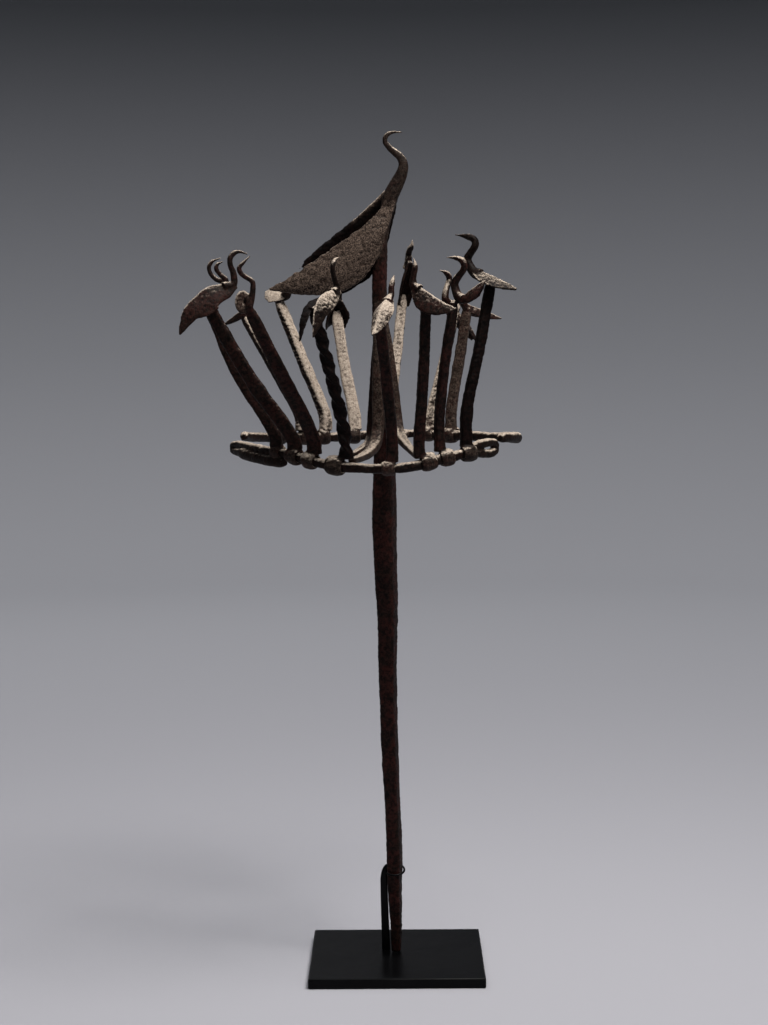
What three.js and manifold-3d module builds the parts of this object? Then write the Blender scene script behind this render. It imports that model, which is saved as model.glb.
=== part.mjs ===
// A forged iron staff crowned by a large bird above a ring of small birds, held on a display stand.
// Millimetres, +Z up. The origin is the centre of the underside of the stand's base plate, and the
// viewer stands at -Y. An azimuth is in degrees: 0 is the front (-Y), 90 is +X and 180 is the back.
import * as THREE from "three";
import { mergeVertices } from "three/addons/utils/BufferGeometryUtils.js";
import Module from "manifold-3d";

const wasm = await Module();
wasm.setup();

// Clearance between pieces that touch, and how much of a bar's side its hammered corner takes
const GAP = 0.3;
const CORNER_SHARE = 0.18;

// Display stand
const PLATE_SIDE = 152.4;
const PLATE_THICK = 9;
const PLATE_BEVEL = 0.8;
const UPRIGHT_DEEP = 5;
const UPRIGHT_Y = 10.4;
const UPRIGHT = [
  [-9.6, PLATE_THICK + GAP, 7.4],
  [-11.1, 68, 6.4],
  [-11.1, 76, 6],
  [-10.2, 81.5, 5],
  [-8.6, 85.2, 3.6],
  [-7.6, 86.2, 2.8],
];
const WIRE = 2;
const WIRE_SIDES = 5;
const LOOP = { centre: [-1.4, 6, 83], radius: 8.6, dip: 3, start: 236, sweep: 292, steps: 12 };

// Shaft stations from the point at the foot to the neck of the large bird: centre x, height, bar side.
// The square bar is turned on its own axis, so that one corner looks towards the viewer.
const SHAFT_Y = 6;
const SHAFT_TURN = 20;
const SHAFT = [
  [-0.5, PLATE_THICK + GAP, 6.4],
  [-0.5, 28, 7.4],
  [-1.3, 64, 10.2],
  [-1.4, 98, 12.0],
  [-2.9, 146, 11.6],
  [-4.6, 191, 12.7],
  [-5.8, 254, 13.5],
  [-6.1, 307, 16.0],
  [-7.1, 347, 17.7],
  [-8.0, 387, 19.2],
  [-8.1, 414, 18.8],
  [-7.8, 440, 17.2],
  [-8.2, 480, 14.5],
  [-9.6, 550, 12.8],
  [-11.0, 590, 12.0],
  [-10.4, 618, 11.0],
  [-8.8, 642, 9.6],
];

// Large bird: neck stations (x, height, thickness), then its two body plates. A plate's upper and lower
// edges run from the tail tip to the neck, each as x and height, and it bulges away from the shaft.
const NECK = [
  [-9.0, 636, 9.0],
  [-4.6, 664, 11.5],
  [-0.3, 679, 13.4],
  [4.2, 688, 12.4],
  [8.4, 696.5, 10.8],
  [10.7, 704.5, 8.6],
  [8.7, 711.3, 7.2],
  [3.9, 715.8, 6.3],
  [-1.4, 720.2, 5.2],
  [-5.2, 725.8, 4.6],
  [-3.9, 730.6, 4.0],
  [1.4, 733.4, 3.0],
  [10.6, 733.4, 1.0],
];
const LARGE_NECK_FLATNESS = 0.86;
const LARGE_NECK_SIDES = 8;
const PLATE_SHEET = 2.4;
const PLATE_ROOT = 0.72;
const PLATE_ROOT_DEPTH = 4.5;
const PLATE_SWELL = 1.08;
const PLATE_ROWS = [0, 0.33, 0.67, 1];
const NEAR_PLATE = {
  y: -2.6,
  bulge: -4,
  upper: [[-107, 599], [-86, 611], [-66, 624], [-35, 645], [-12, 664], [-2, 680]],
  lower: [[-106, 597.5], [-90, 595], [-65, 593], [-44, 596], [-24, 607.5], [-11, 628], [-2, 655], [5, 676]],
};
const FAR_PLATE = {
  y: 14.6,
  bulge: 3.5,
  upper: [[-79, 619.5], [-68, 630], [-43, 650], [-26, 663.5], [-13, 674], [-3, 684]],
  lower: [[-78, 618], [-70, 604], [-47, 594.5], [-31, 600.5], [-17, 611], [-7, 628], [1, 655], [6, 678]],
};

// Arms that leave the shaft below the birds and sweep out to the ring: where an arm leaves the shaft,
// where it starts to sweep, its sweep as shares of the way out and drops, and where it ends as azimuth,
// radius and height. size is its width and depth, of which ARM_SIZES gives the share at each station.
const ARMS = [
  {
    leaves: [-12, 1, 580], sweeps: [-13.1, -5, 479],
    sweep: [[0.03, -7], [0.1, -14.6], [0.33, -21.2], [0.65, -24.2]],
    ends: [-12.9, 113.2, 453.8], size: [10.5, 9.2],
  },
  {
    leaves: [-8, 1, 580], sweeps: [3.8, -5, 484],
    sweep: [[0.05, -7.5], [0.15, -13.3], [0.47, -19.7], [0.76, -23.9]],
    ends: [15.2, 111.2, 457], size: [9.5, 8],
  },
  {
    leaves: [-12, 9, 575], sweeps: [-18.8, 4, 476],
    sweep: [[0.03, -6.7], [0.11, -12], [0.36, -16], [0.65, -18.4]],
    ends: [-17.6, 108, 456.4], size: [8.5, 7],
  },
  {
    leaves: [-7.5, 12, 570], sweeps: [2.5, 16.5, 486],
    sweep: [[0.03, -7], [0.1, -13], [0.35, -17.5], [0.65, -18.5]],
    ends: [169, 112.5, 468.5], size: [10, 8],
  },
];
const ARM_ROOT = 16;
const ARM_MIDDLE = 0.4;
const ARM_SIZES = [0.45, 0.62, 0.95, 1, 1, 1, 0.85, 0.68, 0.6];

// Ring: its centre, then the two rods' courses as azimuth, radius, height and rod diameter. The front
// rod is bent back on itself at both ends, and the back rod lies on these bends.
const RING_CENTRE = new THREE.Vector2(-9, 6);
const ROD_SIDES = 7;
const FRONT_COURSE = [
  [-80, 127, 464.6, 6.2],
  [-60, 122.5, 462.6, 7],
  [-45, 120, 460, 7.2],
  [-32, 120, 455.2, 8.2],
  [-20, 120, 450, 8.4],
  [-8, 120, 448.2, 8.2],
  [2, 120, 448, 8],
  [11, 120, 449, 8.2],
  [19, 120, 452.8, 8.6],
  [28, 120, 456.2, 8.8],
  [37, 120, 458.9, 7.8],
  [48, 118, 457.4, 6.8],
];
const LEFT_RETURN = [
  [-46.5, 121.4, 452.3, 6.4],
  [-51, 122.2, 453.3, 7.8],
  [-60, 124, 455.1, 7.8],
  [-74, 127.5, 457, 6.9],
];
const LEFT_HAIRPIN = [
  [-82, 129.8, 458.1, 5.8],
  [-84.4, 131, 459.3, 5.7],
  [-85.4, 131.4, 461.6, 5.7],
  [-84.4, 130.6, 463.9, 5.8],
];
const RIGHT_HAIRPIN = [
  [52.5, 116, 457.2, 6.2],
  [55.4, 114.8, 459.2, 6.2],
  [56.6, 114.2, 462.4, 6.2],
  [55.2, 114.8, 465.8, 6.2],
  [52, 116, 467.6, 6.4],
];
const RIGHT_RETURN = [
  [47, 117.6, 468.2, 6.4],
  [42, 118.6, 467.8, 6],
];
const BACK_COURSE = [
  [56, 119.6, 470.4, 8.2],
  [66, 119, 469.8, 8.4],
  [80, 117.5, 468.4, 9],
  [95, 117, 467.4, 9.4],
  [105, 118.5, 467, 8.8],
  [120, 120, 466, 8.4],
  [135, 120, 466, 8.4],
  [150, 120, 466.4, 8.4],
  [165, 120, 467.4, 8.4],
  [180, 120, 467, 8.4],
  [195, 120, 465.2, 8.2],
  [210, 120, 465, 8.4],
  [225, 120, 465.8, 8.4],
  [240, 120, 467, 8.2],
  [255, 120.5, 468.6, 8],
  [268, 121, 470.4, 7.6],
  [280, 121.6, 471.4, 7],
];
const COURSE_STEP = 8;
const FOOT_GAP = 0.4;

// Small birds. Stem: foot azimuth on the ring rod, then how far the perch at its top leans out, towards
// which azimuth, and how far it rises. The stem stands upright over its ankle before it leans. bar is its
// width and depth, turn the azimuth that its wide face looks to, and twist how far it is twisted on the
// way up. wrap is the azimuth, width and wall of the foot round the rod. Neck and ridge are drawn in the
// upright plane through the perch that the bird faces along: forward and up from the perch. wing is the
// reach of the left and right wing and how steeply they hang, and tail the share of it left at the tip.
// plume is a separate strip that hangs to the left of the body. disc stands in the place of ridge and
// wing on the bird whose body is a flat oval with a hole in it.
const BIRDS = [
  {
    rod: "front", foot: -44.7, lean: 67, toward: 249, rise: 117, ankle: 12, bar: [11, 8], turn: -8,
    wrap: [-46.5, 13, 2.2], face: 100,
    neck: [[16, 27.5], [11, 33], [8, 37.5], [9, 41], [13.5, 43.5]],
    ridge: [[18, 27], [6.5, 19], [-4, 11], [-9, 3]],
    wing: [10, 10, 62], girth: 5,
  },
  {
    rod: "front", foot: -37.2, lean: 72, toward: 280, rise: 119, ankle: 20, bar: [12, 8], turn: -10,
    wrap: [-37.5, 13, 3.4], face: 112,
    neck: [[23.5, 24], [23.5, 33], [21, 39.5], [21, 45], [24, 49], [28.5, 50.5], [36, 48.5]],
    ridge: [[25, 26.5], [15.5, 24], [1.5, 21.5], [-9, 14], [-20, 2], [-24, -17.5]],
    wing: [20, 20, 66], girth: 6,
  },
  {
    rod: "front", foot: -27.9, lean: 71, toward: 314, rise: 123, ankle: 19, bar: [10.5, 7], turn: -20,
    wrap: [-29.5, 12, 3.4], face: 100,
    neck: [[2, 3], [4.5, 11], [5.5, 18.5], [5, 23.5], [-3.5, 29.5], [-5.5, 34], [-1.5, 39], [3.5, 44]],
    disc: { centre: [-2.8, 7.4], wide: 12, tall: 18, thick: 3.2, hole: [-0.3, 7.2], bore: [2.8, 4] },
    girth: 5,
  },
  {
    rod: "front", foot: -14.1, lean: 41, toward: 331, rise: 137, ankle: 26, bar: [9.5, 7.5], turn: 10,
    twist: 400, wrap: [-18.5, 14.5, 4], face: 150,
    neck: [[27.5, 8.5], [25, 14], [22, 19.5], [21, 26.5], [24.5, 31.5], [31.5, 34]],
    ridge: [[30.5, 9], [15, 6.5], [1, 1.5], [-6.5, -7.5], [-9.5, -18.5], [-10.5, -31.5]],
    wing: [9, 13, 62], girth: 5,
    plume: [[20, 3], [7, -2], [-3, -8], [-10, -16], [-14, -25], [-17, -34]],
  },
  {
    rod: "front", foot: 3.9, lean: 39, toward: 346, rise: 135, ankle: 19, bar: [9.8, 8], turn: -6,
    wrap: [2.6, 11, 1.2], face: 158,
    neck: [[25.5, 6], [26.5, 12.5], [29, 17], [32.5, 22]],
    ridge: [[23.5, 5], [5, -3.5], [-2.5, -12], [-9, -20], [-15.5, -26.5]],
    wing: [11, 11, 38], girth: 6,
  },
  {
    rod: "front", foot: 14.6, lean: 25, toward: 16, rise: 124, ankle: 16, bar: [9.6, 8], turn: 12,
    wrap: [18.6, 13.5, 3.4], face: 236,
    neck: [[13.5, 23], [12.5, 30.5], [11, 37.5], [12.5, 44]],
    ridge: [[13, 24], [3.5, 19], [-12.5, 9.5], [-20, 6], [-28.5, 3]],
    wing: [16, 12, 62], girth: 6,
  },
  {
    rod: "front", foot: 24.5, lean: 22, toward: 36, rise: 125, ankle: 26, bar: [10.6, 8.4], turn: 34,
    wrap: [27.6, 12.5, 3], face: 236,
    neck: [[-1, 7], [2.5, 13.5], [3, 19], [-6, 31], [-4, 36.5], [2.5, 39], [11, 39.5]],
    ridge: [[-1, 5], [-13.5, 14], [-25.5, 20.5]],
    wing: [11, 9, 60], girth: 7,
  },
  {
    rod: "front", foot: 35.4, lean: 23, toward: 110, rise: 140, ankle: 30, bar: [9.8, 8], turn: 22,
    wrap: [36.5, 15, 3.6], face: 240,
    neck: [[15, 10], [20, 16], [22, 21.5], [14.5, 33], [15.5, 37.5], [21.5, 40], [33.5, 42]],
    ridge: [[16, 12.5], [7.5, 10], [-8.5, 3.5], [-24, -4]],
    wing: [14, 14, 24], girth: 8,
  },
  {
    rod: "back", foot: 148.6, lean: 16, toward: 103, rise: 119, ankle: 18, bar: [10.5, 8], turn: -22,
    wrap: [149, 15, 3.4], face: 300,
    neck: [[9, 7.5], [13.5, 14], [15, 20.5], [12, 26], [7.5, 31.5], [6, 36]],
    ridge: [[8.5, 7.5], [-3.5, 1], [-21, -4.5], [-38.5, -11]],
    wing: [9, 9, 60], girth: 6,
  },
  {
    rod: "back", foot: 159.3, lean: 24, toward: 138, rise: 123, ankle: 12, bar: [10.5, 8], turn: -10,
    wrap: [160, 13, 3.2], face: 320,
    neck: [[-0.5, 2.5], [-1, 9], [-6.5, 22.5], [-1.5, 27], [8, 29]],
    ridge: [[-1.5, 3.5], [-10.5, -2], [-22, -10.5], [-36, -20], [-47, -33]],
    wing: [12, 12, 60], tail: 0.5, girth: 7,
  },
  {
    rod: "back", foot: 177.1, lean: 27, toward: 151, rise: 126, ankle: 13, bar: [10.5, 8], turn: 0,
    wrap: [177, 13, 3.2], face: 20,
    neck: [[15.5, 37], [17, 43.5], [24, 48.5], [26.5, 54]],
    ridge: [[17, 36], [9, 25], [-1, 10.5], [-7, -3.5]],
    wing: [15, 15, 58], tail: 0.7, girth: 7,
  },
  {
    rod: "back", foot: 192.8, lean: 24, toward: 226, rise: 107, ankle: 12, bar: [11.5, 8], turn: 5,
    wrap: [193.5, 13, 3.2], face: 20,
    neck: [[6.5, 23.5], [11, 33], [8.5, 42], [13, 47], [22, 46]],
    ridge: [[8, 22.5], [2, 18], [-4.5, 12], [-14, -2]],
    wing: [18, 18, 50], tail: 0.8, girth: 7,
  },
  {
    rod: "back", foot: 206.5, lean: 46, toward: 252, rise: 130, ankle: 13, bar: [11.5, 8], turn: 24,
    wrap: [207.5, 13, 3.2], face: 60,
    neck: [[11, 5], [19, 10], [25.5, 17.5], [33, 21], [42, 19]],
    ridge: [[12, 2], [3, 5.5], [-6.5, 8], [-14.5, 6]],
    wing: [13, 13, 50], tail: 0.8, girth: 7,
  },
  {
    rod: "back", foot: 220.5, lean: 51, toward: 271, rise: 117, ankle: 12, bar: [10.5, 8], turn: 20,
    wrap: [217.5, 11, 3.2], face: 60,
    neck: [[4.5, 5], [4.5, 12], [3.5, 18.5], [8, 24], [12.5, 24]],
    ridge: [[5.5, 4], [-4.5, -2], [-22, -13]],
    wing: [9, 9, 60], girth: 6,
  },
  {
    rod: "back", foot: 232, lean: 66.5, toward: 288.4, rise: 117.5, ankle: 12, bar: [7.6, 6.5], turn: 20,
    wrap: [231.5, 11, 3.2], face: 95,
    neck: [[16.7, 23.8], [9.7, 25.3], [3.9, 30.8], [2.4, 36.8], [5.4, 41.8], [12.9, 44.8]],
    ridge: [[19.4, 23.8], [7.9, 16.8], [-3.1, 7.8]],
    wing: [13, 13, 62], girth: 5,
  },
];
const SHEET = 2;
const BEAK_TIP = 1;
const WING_FULLEST = 0.42;
const TAIL_SHARE = 0.08;
const PLUME = { aside: 8, wide: 10, thick: 1.8, narrowest: 0.15, spread: 0.82 };
const SLIT = 0.12;
const FOLD_RISE = 0.6;
const FOLD_DEPTH = 1.2;
const SHEET_THINNING = 0.35;
const WING_AT_NECK = 0.3;
const THROAT_SHARE = 0.68;
const THROAT_END = 0.6;
const NECK_FLATNESS = 0.92;
const SEAT_SHARE = 0.7;
const STEM_TAPER = 0.12;
const BEND_OUT = 1.5;

// Steps along each kind of form
const WIRE_STEPS = 17;
const PLATE_STEPS = 9;
const STEM_STEPS = 5;
const TWIST_STEPS = 12;
const BODY_STEPS = 5;
const NECK_STEPS = 6;
const NECK_SIDES = 5;
const FOLD_READINGS = 20;
const NAPE = 3;
const OVAL_SEGMENTS = 7;

const UP = new THREE.Vector3(0, 0, 1);
const IRON = { color: 0x2b2320, roughness: 0.78, metalness: 0.55 };
const BLACK_PAINT = { color: 0x0c0c0d, roughness: 0.45, metalness: 0.3 };

function along(azimuth) {
  const a = THREE.MathUtils.degToRad(azimuth);
  return new THREE.Vector3(Math.sin(a), -Math.cos(a), 0);
}

function onRing(azimuth, radius, height) {
  return along(azimuth)
    .multiplyScalar(radius)
    .add(new THREE.Vector3(RING_CENTRE.x, RING_CENTRE.y, height));
}

function solidOf(positions, triangles) {
  const made = new wasm.Manifold(
    new wasm.Mesh({
      numProp: 3,
      vertProperties: new Float32Array(positions),
      triVerts: new Uint32Array(triangles),
    }),
  );
  if (made.volume() > 0) return made;
  const turned = triangles.map((_, i) => triangles[i - (i % 3) + (2 - (i % 3))]);
  return solidOf(positions, turned);
}

function solidOfGeometry(geometry) {
  geometry.deleteAttribute("normal");
  geometry.deleteAttribute("uv");
  const merged = mergeVertices(geometry, 1e-3);
  return solidOf(Array.from(merged.attributes.position.array), Array.from(merged.index.array));
}

function joined(solids) {
  return solids.reduce((a, b) => a.add(b));
}

// A closed skin over cross-sections of equal length. The ends are closed by strips between the first
// and second half of the section, which suits round outlines and folded sheets alike.
function loft(sections) {
  const count = sections[0].length;
  const positions = sections.flat().flatMap((p) => [p.x, p.y, p.z]);
  const triangles = [];
  const quad = (a, b, c, d) => triangles.push(a, b, c, a, c, d);
  for (let s = 0; s + 1 < sections.length; s++) {
    for (let i = 0; i < count; i++) {
      const j = (i + 1) % count;
      quad(s * count + i, s * count + j, (s + 1) * count + j, (s + 1) * count + i);
    }
  }
  const last = (sections.length - 1) * count;
  for (let i = 0; i + 1 < count / 2; i++) {
    const far = count - 1 - i;
    quad(far, far - 1, i + 1, i);
    quad(last + i, last + i + 1, last + far - 1, last + far);
  }
  return solidOf(positions, triangles);
}

function section(at, side, up, outline) {
  return outline.map(([u, v]) => at.clone().addScaledVector(side, u).addScaledVector(up, v));
}

function roundOutline(wide, deep, sides) {
  return Array.from({ length: sides }, (_, i) => {
    const a = ((i + 0.5) / sides) * 2 * Math.PI;
    return [(wide / 2) * Math.cos(a), (deep / 2) * Math.sin(a)];
  });
}

function squareOutline(wide, deep) {
  const x = wide / 2;
  const y = deep / 2;
  return [[x, y], [-x, y], [-x, -y], [x, -y]];
}

// A bar's outline with its corners hammered off, eight points.
function barOutline(wide, deep) {
  const x = wide / 2;
  const y = deep / 2;
  const c = CORNER_SHARE * Math.min(wide, deep);
  const upper = [[x, y - c], [x - c, y], [c - x, y], [-x, y - c]];
  return [...upper, ...upper.map(([u, v]) => [-u, -v])];
}

// Points and directions at equal steps of a smooth curve through the given points.
function sampled(points, steps) {
  const curve = new THREE.CatmullRomCurve3(points, false, "centripetal");
  return Array.from({ length: steps + 1 }, (_, i) => ({
    t: i / steps,
    at: curve.getPointAt(i / steps),
    direction: curve.getTangentAt(i / steps),
  }));
}

// Linear reading of one column of rows that are sorted by their first value.
function reading(rows, position, column) {
  const next = rows.findIndex((row) => row[0] > position);
  const i = next < 0 ? rows.length - 2 : Math.max(0, next - 1);
  const t = (position - rows[i][0]) / (rows[i + 1][0] - rows[i][0]);
  return THREE.MathUtils.lerp(rows[i][column], rows[i + 1][column], THREE.MathUtils.clamp(t, 0, 1));
}

// The given points themselves, with the directions of a smooth curve through them.
function stationed(points) {
  const curve = new THREE.CatmullRomCurve3(points, false, "centripetal");
  const last = points.length - 1;
  return points.map((at, i) => ({ t: i / last, at, direction: curve.getTangent(i / last) }));
}

// A bar swept along stations. outlineAt gives its outline at t, and facing the way its face looks.
function sweptBar(stations, outlineAt, facing, twist = 0) {
  return loft(
    stations.map(({ t, at, direction }) => {
      const across = new THREE.Vector3().crossVectors(direction, facing).normalize();
      const out = new THREE.Vector3().crossVectors(across, direction).normalize();
      const turn = THREE.MathUtils.degToRad(twist * t);
      across.applyAxisAngle(direction, turn);
      out.applyAxisAngle(direction, turn);
      return section(at, across, out, outlineAt(t));
    }),
  );
}

const COURSES = { front: FRONT_COURSE, back: BACK_COURSE };

// One row of a rod's course: azimuth, radius, height and diameter.
function courseRow(name, azimuth) {
  return [azimuth, ...[1, 2, 3].map((column) => reading(COURSES[name], azimuth, column))];
}

function courseRows(name) {
  const course = COURSES[name];
  const from = course[0][0];
  const reach = course[course.length - 1][0] - from;
  const steps = Math.round(reach / COURSE_STEP);
  return Array.from({ length: steps + 1 }, (_, i) => courseRow(name, from + (reach * i) / steps));
}

function onRod(name, azimuth) {
  const [, radius, height] = courseRow(name, azimuth);
  return onRing(azimuth, radius, height);
}

function rodLoft(rows, allowance) {
  const points = rows.map(([azimuth, radius, height]) => onRing(azimuth, radius, height));
  return loft(
    rows.map(([azimuth, , , diameter], i) => {
      const before = points[Math.max(0, i - 1)];
      const after = points[Math.min(points.length - 1, i + 1)];
      const direction = after.clone().sub(before).normalize();
      const up = new THREE.Vector3().crossVectors(along(azimuth), direction).normalize();
      const out = new THREE.Vector3().crossVectors(direction, up);
      const size = diameter + 2 * allowance;
      return section(points[i], out, up, roundOutline(size, size, ROD_SIDES));
    }),
  );
}

const RODS = {
  front: [...LEFT_RETURN, ...LEFT_HAIRPIN, ...courseRows("front"), ...RIGHT_HAIRPIN, ...RIGHT_RETURN],
  back: courseRows("back"),
};

function standPlate() {
  const half = PLATE_SIDE / 2 - PLATE_BEVEL;
  const square = new THREE.Shape()
    .moveTo(-half, -half)
    .lineTo(half, -half)
    .lineTo(half, half)
    .lineTo(-half, half)
    .closePath();
  const plate = new THREE.ExtrudeGeometry(square, {
    depth: PLATE_THICK - 2 * PLATE_BEVEL,
    bevelThickness: PLATE_BEVEL,
    bevelSize: PLATE_BEVEL,
    bevelSegments: 1,
  });
  return solidOfGeometry(plate.translate(0, 0, PLATE_BEVEL));
}

// The flat bar narrows and curls over at its top, and a wire runs on from it round the shaft.
function standUpright() {
  const points = UPRIGHT.map(([x, z]) => new THREE.Vector3(x, UPRIGHT_Y, z));
  const bar = loft(
    points.map((at, i) => {
      const before = points[Math.max(0, i - 1)];
      const after = points[Math.min(points.length - 1, i + 1)];
      const direction = after.clone().sub(before).normalize();
      const across = new THREE.Vector3().crossVectors(along(0), direction).normalize();
      const wide = UPRIGHT[i][2];
      return section(at, across, along(0), barOutline(wide, Math.min(wide, UPRIGHT_DEEP)));
    }),
  );
  const [x, y, z] = LOOP.centre;
  const turns = Array.from({ length: LOOP.steps + 1 }, (_, i) => {
    const a = LOOP.start - (LOOP.sweep * i) / LOOP.steps;
    const round = along(a).multiplyScalar(LOOP.radius);
    return new THREE.Vector3(x, y, z).add(round).addScaledVector(UP, (LOOP.dip * round.y) / LOOP.radius);
  });
  const wire = sweptBar(sampled(turns, WIRE_STEPS), () => roundOutline(WIRE, WIRE, WIRE_SIDES), UP);
  return bar.add(wire);
}

const SHAFT_BY_HEIGHT = SHAFT.map(([x, z]) => [z, x]);

function shaft() {
  const facing = along(-SHAFT_TURN);
  return loft(
    SHAFT.map(([x, z, side]) => {
      const at = new THREE.Vector3(x, SHAFT_Y, z);
      return section(at, along(90 - SHAFT_TURN), facing, barOutline(side, side));
    }),
  );
}

// An arm runs down beside the shaft, bends outwards above the ring and ends against the rod's inner side.
function arm({ leaves, sweeps, sweep, ends: [azimuth, radius, height], size: [wide, deep] }) {
  const start = new THREE.Vector3(...leaves);
  const bend = new THREE.Vector3(...sweeps);
  const tip = onRing(azimuth, radius, height);
  const root = start.clone().setY(SHAFT_Y).addScaledVector(UP, ARM_ROOT);
  const swung = sweep.map(([share, drop]) => bend.clone().lerp(tip, share).setZ(bend.z + drop));
  const points = [root, start, start.clone().lerp(bend, ARM_MIDDLE), bend, ...swung, tip];
  const outlineAt = (t) => {
    const share = ARM_SIZES[Math.round(t * (points.length - 1))];
    return barOutline(deep * share, wide * share);
  };
  return sweptBar(stationed(points), outlineAt, along(azimuth + 90));
}

// One body plate of the large bird: a thin sheet between an upper and a lower edge.
function bodyPlate({ y, bulge, upper, lower }, outward) {
  const edge = (rows) => sampled(rows.map(([x, z]) => new THREE.Vector3(x, 0, z)), PLATE_STEPS);
  const uppers = edge(upper);
  const lowers = edge(lower);
  return loft(
    uppers.map(({ t, at: top }, i) => {
      const bottom = lowers[i].at;
      const rooted = THREE.MathUtils.smoothstep(t, PLATE_ROOT, 1);
      const inset = rooted * (Math.abs(y - SHAFT_Y) - PLATE_ROOT_DEPTH);
      const face = PLATE_ROWS.map((q) => {
        const fullness = Math.sin(Math.PI * Math.min(1, t * PLATE_SWELL));
        const swell = bulge * Math.sin(Math.PI * q) * fullness;
        const depth = y + swell - outward * inset;
        return top.clone().lerp(bottom, q).setY(depth);
      });
      const back = face.map((p) => p.clone().setY(p.y - outward * PLATE_SHEET));
      return [...face, ...back.reverse()];
    }),
  );
}

function largeNeck() {
  const points = NECK.map(([x, z]) => new THREE.Vector3(x, SHAFT_Y, z));
  return loft(
    points.map((at, i) => {
      const before = points[Math.max(0, i - 1)];
      const after = points[Math.min(points.length - 1, i + 1)];
      const direction = after.clone().sub(before).normalize();
      const up = new THREE.Vector3().crossVectors(direction, along(0)).normalize();
      const size = NECK[i][2];
      return section(at, up, along(0), roundOutline(size, size * LARGE_NECK_FLATNESS, LARGE_NECK_SIDES));
    }),
  );
}

function staff() {
  const plates = [bodyPlate(NEAR_PLATE, -1), bodyPlate(FAR_PLATE, 1)];
  return joined([shaft(), largeNeck(), ...plates, ...ARMS.map(arm)]);
}

// How far a wing reaches from the ridge, from the neck at 0 over its full reach to the tail tip at 1.
function leaf(t, tail) {
  const opening = Math.sin((Math.min(t, WING_FULLEST) / WING_FULLEST) * (Math.PI / 2));
  const closing = (Math.max(0, t - WING_FULLEST) / (1 - WING_FULLEST)) ** 2;
  return THREE.MathUtils.lerp(WING_AT_NECK, 1, opening) * THREE.MathUtils.lerp(1, tail, closing);
}

// A folded leaf-shaped sheet: the ridge is the fold and the two wings hang from it.
function birdBody(ridge, forward, { wing: [left, right, hang], tail = TAIL_SHARE }) {
  const side = new THREE.Vector3().crossVectors(forward, UP);
  const across = Math.cos(THREE.MathUtils.degToRad(hang));
  const down = Math.sin(THREE.MathUtils.degToRad(hang));
  return loft(
    sampled(ridge, BODY_STEPS).map(({ t, at, direction }) => {
      const up = new THREE.Vector3().crossVectors(direction, side).normalize();
      if (up.z < 0 && direction.z > -0.9) up.negate();
      const sheet = SHEET * (1 - SHEET_THINNING * t);
      const wing = (sign, reach) => {
        const u = reach * leaf(t, tail) * across;
        const v = -reach * leaf(t, tail) * down;
        const inner = Math.max(SLIT, u - sheet * down);
        return { tip: [sign * u, v], inside: [sign * inner, v - sheet * across] };
      };
      const near = wing(1, right);
      const far = wing(-1, left);
      const fold = [0, FOLD_RISE];
      const underFold = [0, -FOLD_DEPTH * sheet];
      return section(at, side, up, [far.tip, fold, near.tip, near.inside, underFold, far.inside]);
    }),
  );
}

// The neck thins towards the head, and the beak thins to a point.
function birdNeck(points, forward, girth) {
  const outlineAt = (t) => {
    const slimming = THREE.MathUtils.smoothstep(t, 0, THROAT_END);
    const throat = THREE.MathUtils.lerp(girth, girth * THROAT_SHARE, slimming);
    const size = THREE.MathUtils.lerp(throat, BEAK_TIP, THREE.MathUtils.smoothstep(t, THROAT_END, 1));
    return roundOutline(size * NECK_FLATNESS, size, NECK_SIDES);
  };
  return sweptBar(sampled(points, NECK_STEPS), outlineAt, new THREE.Vector3().crossVectors(forward, UP));
}

// The foot of a stem, hammered round the ring rod.
function birdFoot(name, [azimuth, wide, wall]) {
  const [, radius] = courseRow(name, azimuth);
  const half = THREE.MathUtils.radToDeg(wide / 2 / radius);
  const rows = [-half, half].map((offset) => {
    const [at, reach, height, diameter] = courseRow(name, azimuth + offset);
    return [at, reach, height, diameter + 2 * (FOOT_GAP + wall)];
  });
  return rodLoft(rows, 0);
}

// The stem stands over its ankle, then leans in a straight line to the perch.
function birdStem({ foot, ankle, bar: [wide, deep], turn, twist = 0 }, base, perch, top) {
  const bend = base.clone().addScaledVector(UP, ankle).addScaledVector(along(foot), BEND_OUT);
  const middle = bend.clone().lerp(perch, 0.5).addScaledVector(along(foot), BEND_OUT / 2);
  const points = [base, bend, middle, top];
  const outlineAt = (t) => squareOutline(wide * (1 - STEM_TAPER * t), deep * (1 - STEM_TAPER * t));
  return sweptBar(sampled(points, twist ? TWIST_STEPS : STEM_STEPS), outlineAt, along(turn), twist);
}

// How far below the fold a stem ends, so that the folded wings hide its square end.
function seatDepth({ wing: [left, right, hang], bar: [wide] }, t) {
  const slope = THREE.MathUtils.degToRad(hang);
  const wingDepth = Math.min(left, right) * leaf(t, TAIL_SHARE) * Math.sin(slope);
  return Math.min(SEAT_SHARE * wingDepth, (wide / 2) * Math.tan(slope));
}

// A flat oval body that stands upright along the way the bird faces, with a hole through it.
function birdDisc({ centre, wide, tall, thick, hole, bore }, perch, forward) {
  const oval = new THREE.Shape().absellipse(...centre, wide / 2, tall / 2, 0, 2 * Math.PI);
  oval.holes.push(new THREE.Path().absellipse(...hole, bore[0] / 2, bore[1] / 2, 0, 2 * Math.PI, true));
  const disc = new THREE.ExtrudeGeometry(oval, {
    depth: thick,
    bevelEnabled: false,
    curveSegments: OVAL_SEGMENTS,
  });
  const side = new THREE.Vector3().crossVectors(forward, UP);
  const stand = new THREE.Matrix4().makeBasis(forward, UP, side).setPosition(perch);
  return solidOfGeometry(disc.translate(0, 0, -thick / 2).applyMatrix4(stand));
}

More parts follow.
